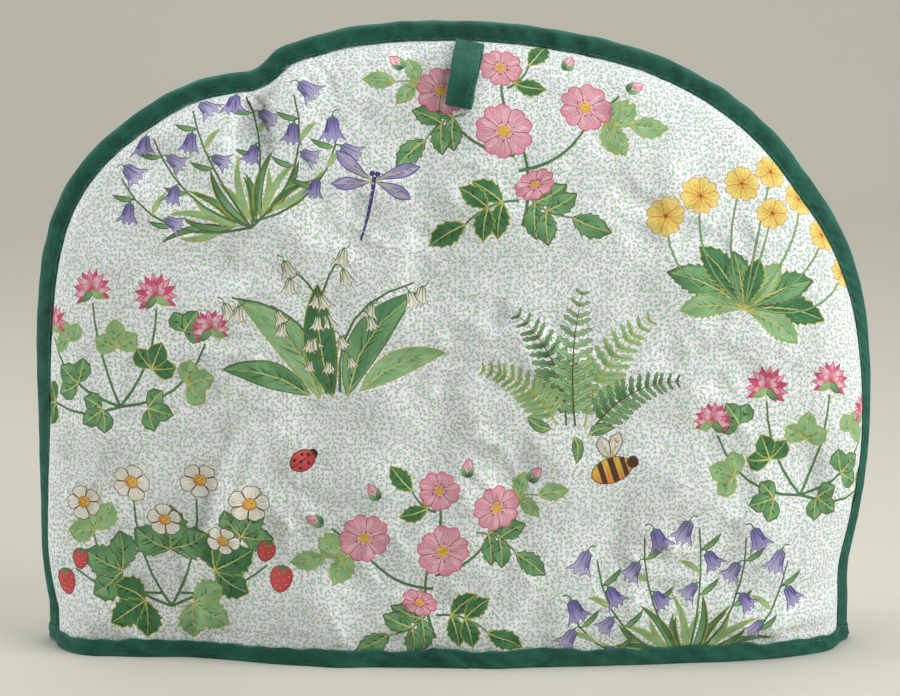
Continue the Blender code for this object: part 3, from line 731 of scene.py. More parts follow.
def strawberry_spray(art):
    draw_all(art, stem, (
        (0, -32, -34, 14, 0.16), (0, -32, -12, 22, 0.08), (0, -32, 16, 20, -0.08),
        (0, -32, 38, 10, -0.16), (-4, -26, -46, -8, 0.1), (4, -26, 48, -14, -0.1)), width=0.8)
    draw_all(art, trefoil, (
        (-20, -14, 150, 20, 14, DEEP), (22, -16, 24, 20, 14, LEAFY), (0, -6, 92, 21, 15, LEAFY),
        (-10, -30, 208, 18, 13, FRESH), (12, -30, -30, 18, 13, DEEP),
        (-32, 2, 122, 16, 11, LEAFY), (34, 2, 60, 16, 11, FRESH)))
    draw_all(art, blossom, (
        (-36, 17, 9.0, 12), (-14, 26, 8.5, 40), (17, 24, 9.0, 20), (40, 14, 8.5, 55),
        (2, 8, 8.0, 0), (-24, 0, 7.5, 30)), squash=0.88, tilt=15)
    draw_all(art, strawberry, (
        (-50, -12, 10.0, -80), (-44, -1, 8.0, -70), (51, -18, 10.0, -100), (42, -8, 8.0, -85)))


def harebell_spray(art):
    for k in range(22):
        t = k / 21
        x = -34 + 68 * t
        leaf(art, x * 0.3, -31 + 6 * abs(t - 0.5), 168 - 156 * t + 10 * math.sin(k * 2.1),
             20 + 9 * math.sin(k * 1.7) ** 2, 2.7, (FRESH, LEAFY, DEEP)[k % 3], 0.1 * (-1) ** k)
    stems = ((0, -32, -44, 16, 0.2), (0, -32, -24, 26, 0.14), (0, -32, -4, 30, 0.05),
             (0, -32, 18, 27, -0.1), (0, -32, 38, 18, -0.18), (2, -30, 52, -2, -0.2))
    for n, path in enumerate(stems):
        points = stem(art, *path, width=0.6)
        for k, t in enumerate((6, 8, 10)):
            side = -1 if k % 2 else 1
            leaf(art, *points[t], 90 + side * 55 - 2 * n, 11, 2.2, (LEAFY, FRESH)[k % 2], 0.08)
        for k, t in enumerate((13, 10, 7)):
            x, y = points[t]
            side = -1 if (k + n) % 2 else 1
            a, b = x + side * (3.5 - k), y - 1.5 + k
            art.line(arc(x, y, a, b, 0.3 * side, 6), 0.5, DARK_GREEN, 0.8)
            bell(art, a, b, -90 + side * (24 + 8 * k), 9.5 - 1.1 * k,
                 (BLUE_BELL, DEEP_BELL)[(n + k) % 2])


def primrose_spray(art):
    for angle, length, width, tones in (
            (170, 36, 12, LEAFY), (8, 36, 12, DEEP), (142, 32, 12, DEEP), (36, 33, 12, LEAFY),
            (196, 27, 10, FRESH), (-16, 27, 10, FRESH), (116, 24, 10, LEAFY),
            (64, 25, 10, FRESH), (88, 22, 9, DEEP)):
        leaf(art, 0, -26, angle, length, width, tones, 0.08 * math.cos(math.radians(angle)), 10,
             0.62)
    tips = ((-30, 14, 0.14), (-14, 24, 0.1), (2, 16, 0.0), (14, 28, -0.08), (28, 16, -0.12),
            (42, 4, -0.2), (-42, 2, 0.2), (-2, 34, 0.02))
    for x, y, bend in tips:
        stem(art, x * 0.1, -24, x, y, bend, width=0.7, colour=LIGHT_GREEN)
        leaf(art, x, y, 250 - x, 6.5, 3.4, FRESH, 0.0)
    for k, (x, y, bend) in enumerate(tips):
        cowslip(art, x, y, 8.6 - 0.5 * (k % 3), 17 * k, 0.9, 10 * k)


def lily_spray(art):
    draw_all(art, leaf, (
        (-6, -28, 124, 56, 15, FRESH, -0.12), (6, -28, 50, 54, 15, LEAFY, 0.12),
        (0, -28, 92, 50, 14, DEEP, 0.05), (-10, -26, 158, 40, 11, LEAFY, -0.1),
        (12, -26, 18, 40, 11, FRESH, 0.1)), fat=0.48)
    for path, side in (((3, -26, 46, 18, 0.24), 1), ((-3, -26, -46, 20, -0.24), -1),
                       ((0, -26, 14, 38, 0.16), 1), ((0, -26, -18, 36, -0.16), -1)):
        points = stem(art, *path, width=0.8)
        for k in range(6):
            x, y = points[13 - 2 * k]
            a, b = x + side * (3.2 if k % 2 else -3.0), y - 2.5
            art.line(arc(x, y, a, b, 0.25, 4), 0.5, OLIVE, 0.8)
            bell(art, a, b, -90 + side * (12 if k % 2 else -16), 7.4 - 0.5 * k,
                 (CREAM, srgb(236, 238, 214), OLIVE))


def fern_spray(art):
    draw_all(art, frond, (
        (-4, -30, 122, 58, 13, LEAFY, -0.12), (4, -30, 62, 60, 14, FRESH, 0.12),
        (0, -30, 92, 64, 13, (PALE_GREEN, LIGHT_GREEN, MID_GREEN, OLIVE), 0.05),
        (8, -30, 32, 46, 10, LEAFY, 0.14), (-8, -30, 152, 44, 10, FRESH, -0.14)))
    draw_all(art, leaf, (
        (-10, -32, 160, 12, 5, LEAFY), (6, -33, 20, 12, 5, LEAFY), (0, -34, -80, 12, 5, LEAFY)))


def clover_spray(art):
    draw_all(art, stem, (
        (0, -26, -30, 12, 0.14), (0, -26, -6, 22, 0.05), (0, -26, 22, 16, -0.1),
        (0, -26, 42, 0, -0.18), (0, -26, -44, -6, 0.18)), width=0.8)
    draw_all(art, trefoil, (
        (-18, -14, 132, 12, 9, LEAFY), (16, -12, 60, 12, 9, DEEP), (30, -20, 10, 12, 9, FRESH),
        (-32, -20, 172, 12, 9, DEEP), (2, -2, 88, 12, 9, FRESH), (-8, -26, 206, 11, 8, LEAFY),
        (12, -28, -20, 11, 8, LEAFY), (-20, 4, 112, 10, 8, FRESH), (32, 2, 48, 10, 8, LEAFY)),
        teeth=0)
    for x, y, r in ((-30, 15, 9.5), (-6, 25, 9.0), (22, 19, 9.5), (43, 3, 8.0), (-45, -3, 7.5)):
        for row in range(3):
            for k in range(11 - 3 * row):
                a = -30 + 240 * (k + 0.5 * (row % 2)) / (10 - 3 * row)
                leaf(art, x, y - 1.5, a, r * (1.0 - 0.26 * row), 2.9,
                     (ROSY_DARK, ROSY)[(k + row) % 2], 0.0)
        leaf(art, x, y - 1.5, 215, 7, 3, LEAFY, 0.1)
        leaf(art, x, y - 1.5, -35, 7, 3, FRESH, -0.1)


def dragonfly(art):
    for a, size in ((28, 21), (152, 21), (-14, 18), (194, 18)):
        leaf(art, 0, 4, a, size, 5.6, WING, 0.03, fat=0.66)
    art.line(arc(0, 6, 0, -22, 0.03), 1.9, DARK_VIOLET, 0.5)
    for k in range(8):
        art.dot(0.1, 3 - 3.0 * k, 0.55, LILAC, 6)
    art.dot(-1.2, 7.2, 1.3, DARK_VIOLET)
    art.dot(1.2, 7.2, 1.3, DARK_VIOLET)


def bumblebee(art):
    long, high = 8.5, 5.2
    for a, size in ((58, 13), (96, 12)):
        leaf(art, 1, 3, a, size, 5.6, (CREAM, srgb(228, 220, 214), BROWN, BROWN), 0.04, fat=0.66)
    art.shape(oval(24, long, high), YELLOW, BROWN, 0.4, far=ORANGE, start=(0, 5), end=(0, -5))
    for x0, w in ((-5.2, 2.2), (-0.6, 2.6), (4.4, 2.0)):        # stripes
        half = [5.0 * math.sqrt(max(0.0, 1 - ((x0 + d) / long) ** 2)) for d in (0, w)]
        art.fill([(x0, -half[0]), (x0 + w, -half[1]), (x0 + w, half[1]), (x0, half[0])], BARK)
    art.dot(9.2, 0.6, 2.6, BARK, 9)
    for k in range(16):     # fur
        a = k * 0.393
        art.line([(8.2 * math.cos(a), 5 * math.sin(a)), (9.4 * math.cos(a), 6 * math.sin(a))],
                 0.3, BROWN)


def ladybird(art):
    art.dot(5.0, 0.0, 2.2, SOOT, 9)
    art.shape(oval(20, 5.4, 4.3), srgb(232, 104, 92), GARNET, 0.4, far=ROSE_RED, start=(0, 4),
              end=(0, -4))
    art.line([(-5.2, 0), (0, 0), (5.2, 0)], 0.4, GARNET, 1.0)
    for x, y in ((-2.6, 2.0), (-2.6, -2.0), (1.4, 2.3), (1.4, -2.3), (3.4, 0.9), (-0.6, 0.0)):
        art.dot(x, y, 0.75, SOOT)


SPRAYS = {
    "rose": dog_rose_spray, "strawberry": strawberry_spray, "harebell": harebell_spray,
    "primrose": primrose_spray, "lily": lily_spray, "fern": fern_spray, "clover": clover_spray,
    "dragonfly": dragonfly, "bee": bumblebee, "ladybird": ladybird,
}
FRONT_PRINT = (             # motif, u, v, angle_deg, scale, mirrored
    ("harebell", -96, 194, 24), ("rose", 26, 202, -4, 1, True), ("primrose", 126, 156, -16),
    ("lily", -52, 122, 6, 0.94), ("fern", 52, 112, -6, 0.94), ("clover", -142, 116, 8),
    ("strawberry", -118, 36, 0, 0.95, True), ("clover", 148, 78, -8, 1, True),
    ("harebell", 96, 16, 0, 1, True), ("rose", -10, 30, 10, 0.92),
    ("dragonfly", -34, 180, -12, 0.95), ("bee", 64, 66, 18), ("ladybird", -62, 70, 34),
)
BACK_PRINT = (
    ("rose", -86, 190, 16, 1, True), ("lily", 30, 204, 4, 0.95),
    ("strawberry", 122, 152, -12, 1, True), ("primrose", -48, 120, 0),
    ("clover", 50, 118, -4, 1, True), ("fern", -142, 116, 6, 0.95),
    ("harebell", -108, 32, 0, 1, True), ("rose", 146, 74, 4, 0.9), ("strawberry", -8, 34, 6),
    ("primrose", 92, 14, 0, 0.95), ("dragonfly", -26, 172, -20, 1, True), ("bee", 92, 66, 10),
    ("ladybird", -62, 72, 120),
)


def draw_print(rows, seed):
    art = Art(seed)
    for name, *place in rows:
        art.set_place(*place)
        SPRAYS[name](art)
    return art.shapes


def points_inside(px, py, loop):
    """Which points lie inside a closed outline, by crossings."""
    x0, y0 = loop[:, 0], loop[:, 1]
    x1, y1 = np.roll(x0, -1), np.roll(y0, -1)
    found = np.zeros(len(px), bool)
    for start in range(0, len(px), 4000):
        part = slice(start, start + 4000)
        x, y = px[part, None], py[part, None]
        spans = (y0 > y) != (y1 > y)
        with np.errstate(divide="ignore", invalid="ignore"):
            cross = x0 + (y - y0) * (x1 - x0) / (y1 - y0) > x
        found[part] = (np.count_nonzero(spans & cross, axis=1) % 2).astype(bool)
    return found


def panel_outline(panel):
    """The flat cloth's edge: along the arch, down, and back along the hem."""
    turns = np.linspace(0.0, np.pi, 421)
    edge = panel.edge(turns)
    arch = np.stack((edge * np.cos(turns), edge * np.sin(turns)), axis=1)
    arch[0, 1] = arch[-1, 1] = 0.0
    down = np.linspace(0.0, FLAT_FOOT, 9)[1:]
    up = np.linspace(FLAT_FOOT, 0.0, 9)[:-1]
    hem = np.linspace(-edge[-1], edge[0], 201)[1:-1]
    return np.concatenate((
        arch,
        np.stack((np.full(8, -edge[-1]), down), axis=1),
        np.stack((hem, np.full(len(hem), FLAT_FOOT)), axis=1),
        np.stack((np.full(8, edge[0]), up), axis=1),
    ))


def lattice(panel, pitch, low, high):
    """Evenly spread points whose distance in from the seam is in a range."""
    span = int(210 / pitch)
    i, j = np.meshgrid(np.arange(-span, span + 1), np.arange(-20, int(300 / pitch)))
    u = ((i + 0.5 * (j % 2)) * pitch).ravel()
    v = (j * pitch * 0.866 - 0.37).ravel()
    run, turn = flat_polar(u, v)
    inward = panel.edge(turn) - run
    clear = 0.6 * pitch
    keep = (inward > max(low, clear)) & (inward <= high) & (v > FLAT_FOOT + clear)
    return np.stack((u[keep], v[keep]), axis=1)


def triangulate(outline, loops, points, apart):
    """Flat triangles inside an outline, with the loops' edges kept."""
    blocks, edges, count = [outline], [], len(outline)
    for loop in loops:
        ids = np.arange(count, count + len(loop))
        edges += list(zip(ids.tolist(), np.roll(ids, -1).tolist()))
        blocks.append(loop)
        count += len(loop)
    blocks.append(points)
    flat = [Vector(p) for p in np.concatenate(blocks).tolist()]
    coords, _, faces, *_ = delaunay_2d_cdt(
        flat, edges, [list(range(len(outline)))], 1, apart, False)
    coords = np.array([c[:] for c in coords])
    faces = np.array([f for f in faces if len(f) == 3])
    middle = coords[faces].mean(axis=1)
    faces = faces[points_inside(middle[:, 0], middle[:, 1], outline)]
    a, b, c = coords[faces[:, 0]], coords[faces[:, 1]], coords[faces[:, 2]]
    turn = (b[:, 0] - a[:, 0]) * (c[:, 1] - a[:, 1]) - (b[:, 1] - a[:, 1]) * (c[:, 0] - a[:, 0])
    faces[turn < 0] = faces[turn < 0][:, ::-1]
    used = np.unique(faces)
    number = np.full(len(coords), -1)
    number[used] = np.arange(len(used))
    return coords[used], number[faces]


def border(faces):
    """The closed border of a sheet of triangles, anticlockwise."""
    follow = {}
    pairs = np.concatenate((faces[:, [0, 1]], faces[:, [1, 2]], faces[:, [2, 0]]))
    have = set(map(tuple, pairs.tolist()))
    for a, b in have:
        if (b, a) not in have:
            follow[a] = b
    first = next(iter(follow))
    loop = [first]
    while follow[loop[-1]] != first:
        loop.append(follow[loop[-1]])
    return loop


def paint(coords, faces, shapes):
    """Colour of every triangle's corners, and its ink and the way that its strokes run."""
    middle = coords[faces].mean(axis=1)
    order = np.argsort(middle[:, 0])
    xs = middle[order, 0]
    colour = np.ones((len(faces), 3, 3))
    ink = np.zeros(len(faces))
    grain = np.zeros(len(faces))
    for loop, start, end, near, far in shapes:
        low, high = loop.min(axis=0), loop.max(axis=0)
        some = order[np.searchsorted(xs, low[0]):np.searchsorted(xs, high[0])]
        y = middle[some, 1]
        some = some[(y > low[1]) & (y < high[1])]
        if not len(some):
            continue
        some = some[points_inside(middle[some, 0], middle[some, 1], loop)]
        along = end - start
        t = (coords[faces[some]] - start) @ along / max(1e-9, along @ along)
        t = smooth_step(t)[..., None]
        colour[some] = np.array(near) * (1 - t) + np.array(far) * t
        ink[some] = 1.0
        grain[some] = math.atan2(along[1], along[0])
    return colour, ink, grain


def surface_normals(place, coords):
    """Normals of the folded cloth, from places a short step away on the flat cloth."""
    u, v = coords[:, 0], coords[:, 1]
    step = 0.35
    step_u, step_v = np.where(u > 0, -step, step), np.where(v > 4.0, -step, step)
    here = place(u, v)
    across = (place(u + step_u, v) - here) * np.sign(step_u)[:, None]
    up = (place(u, v + step_v) - here) * np.sign(step_v)[:, None]
    normal = np.cross(across, up)
    return normal / np.maximum(np.linalg.norm(normal, axis=1), 1e-9)[:, None]


def on_seam(panel, u, v):
    """Whether a place on the cloth's rim is sewn to the other panel."""
    side = panel.edge(0.0 if u > 0 else np.pi)
    return v > FLAT_FOOT + 1e-6 or abs(abs(u) - side) < 0.01


UV_SPAN = 900.0             # millimetres across the whole UV square
FACE_CORNER, BACK_CORNER = (225.0, 40.0), (225.0, 400.0)    # where the flat cloths lie in it
FIN_STEPS = ((SEAM_LAYER, 1.0), (SEAM_LAYER, 5.5), (0.0, 5.5), (0.0, 1.0))  # layer, out


def cut_panel(panel, shapes):
    """The flat printed cloth and the flat plain back, and the back's number at each rim place."""
    points = np.concatenate((lattice(panel, 2.0, 0.0, 16.0), lattice(panel, 3.8, 16.0, 999.0)))
    coords, faces = triangulate(panel_outline(panel), [s[0] for s in shapes], points, 1e-4)
    rim = border(faces)
    back_coords, back_faces = triangulate(coords[rim], [], lattice(panel, 7.0, 4.0, 999.0), 0.0)
    match = {tuple(coords[k]): k for k in rim}
    back_of = {match[tuple(back_coords[k])]: k for k in border(back_faces)}
    return (coords, faces), (back_coords, back_faces), {k: back_of[k] for k in rim}


def sew_rim(panel, coords, rim, first):
    """Places of the fin in the seam, and the numbers of those beside each rim place."""
    places, flat, chains = [], [], []
    for k in rim:
        u, v = coords[k]
        chain = []
        if on_seam(panel, u, v):
            run = float(seam.at(math.atan2(max(v, 0.0), u), seam.run))
            for layer, out in FIN_STEPS:
                x, y, z = seam.fin(run, out, panel.side * (PANEL_GAP / 2 + layer))
                chain.append(first + len(places))
                places.append((x, y, HEM_BEND + v if v < 0 else z))
                flat.append((u * (1 + out / 200), v * (1 + out / 200)))
        chains.append(chain)
    return np.reshape(places, (-1, 3)), np.reshape(flat, (-1, 2)), chains


def face_attribute(mesh, name, values):
    """Values for the mesh's first faces, and 0 for the rest."""
    row = np.zeros(len(mesh.polygons), dtype=np.float32)
    row[:len(values)] = values
    mesh.attributes.new(name, "FLOAT", "FACE").data.foreach_set("value", row)


def make_panel(name, panel, rows, seed, materials):
    """One closed mesh: the printed face, the fin in the seam and the plain back."""
    reach = panel.total.max() + 5
    shapes = [s for s in draw_print(rows, seed) if np.abs(s[0][:, 0]).max() < reach + 60
              and s[0][:, 1].min() < reach]
    (coords, faces), (back_coords, back_faces), back_of = cut_panel(panel, shapes)
    face_count, flat_count = len(coords), len(coords) + len(back_coords)
    rim = list(back_of)
    fin, fin_flat, chains = sew_rim(panel, coords, rim, flat_count)
    chains = [(k, *chain, face_count + back_of[k]) for k, chain in zip(rim, chains)]

    all_faces = faces.tolist() + (back_faces + face_count)[:, ::-1].tolist()
    for a, b in zip(chains, chains[1:] + chains[:1]):
        if len(a) == len(b):
            all_faces += [(b[i], a[i], a[i + 1], b[i + 1]) for i in range(len(a) - 1)]
        else:       # where the seam ends
            all_faces.append((*b[::-1], *a)[::-1])
    colour, ink, grain = paint(coords, faces, shapes)
    normals = np.zeros((flat_count + len(fin), 3))
    normals[:face_count] = surface_normals(panel.outside, coords)
    normals[face_count:flat_count] = -surface_normals(panel.inside, back_coords)
    normals[rim] = 0.0      # left to Blender where the cloth turns over
    if panel.side > 0:
        all_faces = [f[::-1] for f in all_faces]
        colour = colour[:, ::-1]
        normals = -normals

    mesh = new_mesh(name, np.concatenate((
        panel.outside(*coords.T), panel.inside(*back_coords.T), fin)), all_faces)
    uvs = np.concatenate((
        coords + FACE_CORNER, back_coords + BACK_CORNER, fin_flat + FACE_CORNER)) / UV_SPAN
    corners = np.empty(len(mesh.loops), dtype=np.int32)
    mesh.loops.foreach_get("vertex_index", corners)
    mesh.uv_layers.new(name="OFBake").data.foreach_set(
        "uv", uvs[corners].astype(np.float32).ravel())
    tint = np.ones((len(mesh.loops), 4), dtype=np.float32)
    tint[:len(faces) * 3, :3] = colour.reshape(-1, 3)
    mesh.color_attributes.new("print", "FLOAT_COLOR", "CORNER").data.foreach_set(
        "color", tint.ravel())
    face_attribute(mesh, "ink", ink)
    face_attribute(mesh, "grain", grain)
    slots = np.zeros(len(all_faces), dtype=np.int32)
    slots[len(faces):len(faces) + len(back_faces)] = 1
    mesh.polygons.foreach_set("material_index", slots)
    mesh.update()
    mesh.normals_split_custom_set_from_vertices(normals.tolist())
    for material in materials:
        mesh.materials.append(material)
    return add_object(name, mesh)


# --------------------------------------------------------------- materials

class Nodes:
    """Short calls for building a material's nodes."""

    def __init__(self, name, roughness, specular=0.3, sheen=0.0, tint=(1, 1, 1), sheen_rough=0.5):
        self.material = bpy.data.materials.new(name)
        self.material.use_nodes = True
        self.tree = self.material.node_tree
        self.shader = self.tree.nodes["Principled BSDF"]
        for socket, value in (
                ("Roughness", roughness), ("Specular IOR Level", specular),
                ("Sheen Weight", sheen), ("Sheen Roughness", sheen_rough),
                ("Sheen Tint", (*tint, 1.0))):
            self.shader.inputs[socket].default_value = value

    def node(self, kind, inputs=(), **settings):
        node = self.tree.nodes.new(kind)
        for key, value in settings.items():
            setattr(node, key, value)
        for key, value in dict(inputs).items():
            if isinstance(value, bpy.types.NodeSocket):
                self.tree.links.new(value, node.inputs[key])
            else:
                node.inputs[key].default_value = value
        return node

    def math(self, operation, a, b=0.0, c=0.0):
        return self.node("ShaderNodeMath", {0: a, 1: b, 2: c}, operation=operation).outputs[0]

    def times(self, a, b):
        return self.math("MULTIPLY", a, b)

    def vector(self, operation, a, b):
        return self.node("ShaderNodeVectorMath", {0: a, 1: b}, operation=operation).outputs[0]

    def stretch(self, where, x, y, z=1.0):
        return self.vector("MULTIPLY", where, (x, y, z))

    def spin(self, where, angle):
        return self.node("ShaderNodeVectorRotate", {"Vector": where, "Angle": angle},
                         rotation_type="Z_AXIS").outputs[0]

    def parts(self, vector):
        """The x, y and z of a place, or the red, green and blue of a colour."""
        return self.node("ShaderNodeSeparateXYZ", {0: vector}).outputs

    def attribute(self, name):
        return self.node("ShaderNodeAttribute", attribute_name=name).outputs[2]

    def ramp(self, value, low, high, out_low=0.0, out_high=1.0):
        return self.node("ShaderNodeMapRange", {
            0: value, 1: low, 2: high, 3: out_low, 4: out_high},
            interpolation_type="SMOOTHSTEP").outputs[0]

    def mix(self, share, a, b, blend="MIX"):
        return self.node("ShaderNodeMix", {0: share, 6: a, 7: b}, data_type="RGBA",
                         blend_type=blend).outputs[2]

    def noise(self, where, scale, detail=2.0, rough=0.5):
        return self.node("ShaderNodeTexNoise", {
            "Vector": where, "Scale": scale, "Detail": detail, "Roughness": rough}).outputs[0]

    def join(self, socket, name):
        self.tree.links.new(socket, self.shader.inputs[name])

    def bump(self, *layers):
        """Each layer is a height in millimetres."""
        total = layers[0]
        for layer in layers[1:]:
            total = self.math("ADD", total, layer)
        self.join(self.node("ShaderNodeBump", {
            "Height": total, "Distance": METRES, "Strength": 1.0}).outputs[0], "Normal")

    def cloth(self, uv_map, span):
        """The place on the flat cloth in millimetres."""
        return self.stretch(self.node("ShaderNodeUVMap", uv_map=uv_map).outputs[0], span, span, 0.0)

    def weave(self, cloth, pitch, height):
        """Plain weave: threads that go over and under each other."""
        x, y, _ = self.parts(self.stretch(cloth, math.pi / pitch, math.pi / pitch, 0.0))
        crossing = self.times(self.math("SINE", x), self.math("SINE", y))
        return self.times(crossing, height / 2)


def rgb(*value):
    return (*srgb(*value), 1.0)


def flecks(nodes, cloth, scale, offset):
    """One short curved dash in each cell, each turned its own way. Sizes are in cells."""
    length, width, bow = 0.8, 0.62, 0.38
    shifted = nodes.vector("ADD", cloth, (*offset, 0.0))
    cells = nodes.node("ShaderNodeTexVoronoi", {"Vector": shifted, "Scale": scale,
                       "Randomness": 0.8}, voronoi_dimensions="2D")
    seat = nodes.vector("SUBTRACT", shifted, cells.outputs["Position"])
    first, second, _ = nodes.parts(cells.outputs["Color"])      # two random numbers a cell
    x, y, _ = nodes.parts(nodes.spin(seat, nodes.times(first, 2 * math.pi)))
    off_curve = nodes.math("ABSOLUTE", nodes.math(
        "SUBTRACT", y, nodes.times(nodes.times(x, x), bow)))
    reach = nodes.math("MULTIPLY_ADD", second, 0.5 * length, 0.6 * length)
    to_end = nodes.math("SUBTRACT", reach, nodes.math("ABSOLUTE", x))
    body = nodes.ramp(off_curve, width * 0.75, width * 0.3)
    return nodes.times(body, nodes.ramp(to_end, 0.0, 0.25))


def printed_cotton():
    """Flecked ground with the motifs over it, in ink that is dragged a little by the weave."""
    nodes = Nodes("printed_cotton", 0.86, 0.25, 0.12)
    cloth = nodes.cloth("OFBake", UV_SPAN)
    ground = nodes.mix(nodes.ramp(nodes.noise(cloth, 0.06), 0.3, 0.7),
                       rgb(234, 234, 240), rgb(244, 244, 248))
    lilac = flecks(nodes, cloth, 0.54, (3.1, 7.7))
    ground = nodes.mix(nodes.times(lilac, 0.9), ground, rgb(198, 197, 214))
    for scale, offset in ((0.50, (0.0, 0.0)), (0.36, (11.3, 5.9))):
        green = nodes.mix(nodes.noise(cloth, 0.35), rgb(148, 192, 155), rgb(172, 208, 171))
        ground = nodes.mix(flecks(nodes, cloth, scale, offset), ground, green)
    motif = nodes.node("ShaderNodeVertexColor", layer_name="print").outputs[0]
    laid = nodes.spin(cloth, nodes.times(nodes.attribute("grain"), -1.0))
    brush = nodes.noise(nodes.stretch(laid, 0.22, 2.2), 1.0, 3.0, 0.6)
    strokes = nodes.mix(nodes.ramp(brush, 0.3, 0.72), rgb(206, 212, 200), rgb(255, 255, 255))
    motif = nodes.mix(1.0, motif, strokes, "MULTIPLY")
    drag = nodes.ramp(nodes.noise(cloth, 1.6, 3.0, 0.6), 0.28, 0.46, 0.92, 1.0)
    colour = nodes.mix(nodes.attribute("ink"), ground, nodes.mix(drag, ground, motif))
    slub = nodes.ramp(nodes.noise(nodes.stretch(cloth, 0.25, 3.0), 1.0), 0.2, 0.8, 0.95, 1.03)
    nodes.join(nodes.mix(1.0, colour, slub, "MULTIPLY"), "Base Color")
    crinkle = nodes.times(nodes.noise(cloth, 0.11, 3.0, 0.55), 0.9)
    crease = nodes.times(nodes.noise(cloth, 0.45), 0.10)
    nodes.bump(crinkle, crease, nodes.weave(cloth, 0.42, 0.05))
    nodes.join(nodes.ramp(nodes.noise(cloth, 0.8), 0.2, 0.8, 0.82, 0.92), "Roughness")
    return nodes.material


def plain_cotton():
    """The cotton of the cosy's inside."""
    nodes = Nodes("plain_cotton", 0.9, 0.2, 0.1)
    cloth = nodes.cloth("OFBake", UV_SPAN)
    nodes.join(nodes.mix(nodes.noise(cloth, 0.2, 4.0), rgb(226, 221, 207), rgb(236, 232, 220)),
               "Base Color")
    nodes.bump(nodes.times(nodes.noise(cloth, 0.09, 3.0), 1.6), nodes.weave(cloth, 0.5, 0.07))
    return nodes.material


def green_cotton(name, across_rib=False):
    """Dark cotton whose UV map runs along and across the tape."""
    nodes = Nodes(name, 0.6, 0.3, 0.12, srgb(120, 200, 176), 0.4)
    cloth = nodes.cloth("tape", 1 / METRES)
    base = nodes.mix(nodes.ramp(nodes.noise(cloth, 0.12, 3.0), 0.3, 0.7),
                     rgb(13, 66, 55), rgb(24, 92, 77))
    streak = nodes.noise(nodes.stretch(cloth, 0.35, 3.2), 1.0, 3.0)
    base = nodes.mix(nodes.ramp(streak, 0.42, 0.72, 0.0, 0.5), base, rgb(44, 114, 96))
    # Lighter along the rims and top folds: partly wear, partly a painted highlight.
    base = nodes.mix(nodes.times(nodes.attribute("wear_and_highlight"), 0.5), base, rgb(66, 134, 116))
    nodes.join(base, "Base Color")
    x, y, _ = nodes.parts(cloth)
    rib, pitch = (x, 0.9) if across_rib else (nodes.math("ADD", x, y), 0.8)
    twill = nodes.times(nodes.math("SINE", nodes.times(rib, 2 * math.pi / pitch)), 0.035)
    fine = nodes.times(nodes.noise(cloth, 1.3), 0.09)
    soft = nodes.times(nodes.noise(nodes.stretch(cloth, 0.3, 1.0), 0.45), 0.30)
    nodes.bump(twill, fine, soft)
    nodes.join(nodes.ramp(streak, 0.3, 0.8, 0.72, 0.6), "Roughness")
    return nodes.material


def thread():
    """The sewing thread, lighter than the binding."""
    nodes = Nodes("stitch_thread", 0.6, 0.35, 0.2)
    where = nodes.node("ShaderNodeTexCoord").outputs["Object"]
    nodes.join(nodes.mix(nodes.noise(where, 60.0), rgb(30, 96, 78), rgb(62, 130, 110)),
               "Base Color")
    twist = nodes.node("ShaderNodeTexWave", {"Vector": where, "Scale": 900.0}).outputs[1]
    nodes.bump(nodes.times(twist, 0.05))
    return nodes.material


# ------------------------------------------------------------------ bindings

def tape_object(name, places, uvs, wear_and_highlight, material, closed_along=False):
    """A swept strip: places has one closed section for each station."""
    stations, size = places.shape[:2]
    count = stations if closed_along else stations - 1
    along, around = uvs
    around = np.concatenate((around, around[-1:] + 1.0))
    faces, corners = [], []
    for i in range(count):
        here, there = i * size, (i + 1) % stations * size
        low, high = along[i], along[i + 1]
        for k in range(size):
            after = (k + 1) % size
            faces.append((here + k, here + after, there + after, there + k))
            corners += [(low, around[k]), (low, around[k + 1]), (high, around[k + 1]),
                        (high, around[k])]
    if not closed_along:
        last = (stations - 1) * size
        faces += [tuple(range(size))[::-1], tuple(range(last, last + size))]
        corners += [(0.0, 0.0)] * (2 * size)
    mesh = new_mesh(name, places, faces)
    mesh.uv_layers.new(name="tape").data.foreach_set(
        "uv", (np.array(corners, dtype=np.float32) * METRES).ravel())
    # Per point: wear, and a painted highlight on the rims, which the material turns lighter.
    mesh.attributes.new("wear_and_highlight", "FLOAT", "POINT").data.foreach_set(
        "value", np.clip(wear_and_highlight, 0.0, 1.0).astype(np.float32).ravel())
    mesh.materials.append(material)
    mesh.set_sharp_from_angle(angle=math.radians(65.0))
    return add_object(name, mesh)


def gathered(run):
    """How near a place on the seam is to the notch, where the binding gathers."""
    return hill(run - NOTCH_RUN, 16.0)


def arch_lip(run, seed):
    """How far the binding's edge wanders out from the seam."""
    gather = gathered(run)
    return 0.32 * waves(run, 9.0, 40.0, seed) + 0.2 * gather * waves(run, 6.0, 12.0, seed + 1)


def arch_swell(run, out, seed):
    """How far the binding's face stands off its plain section."""
    gather = gathered(run)
    return (0.2 * waves(run + 0.6 * out, 6.0, 16.0, seed + 2)
            + 0.14 * waves(run - 1.2 * out, 4.0, 7.0, seed + 3)
            + 0.24 * gather * waves(run + 0.8 * out, 5.0, 12.0, seed + 4))


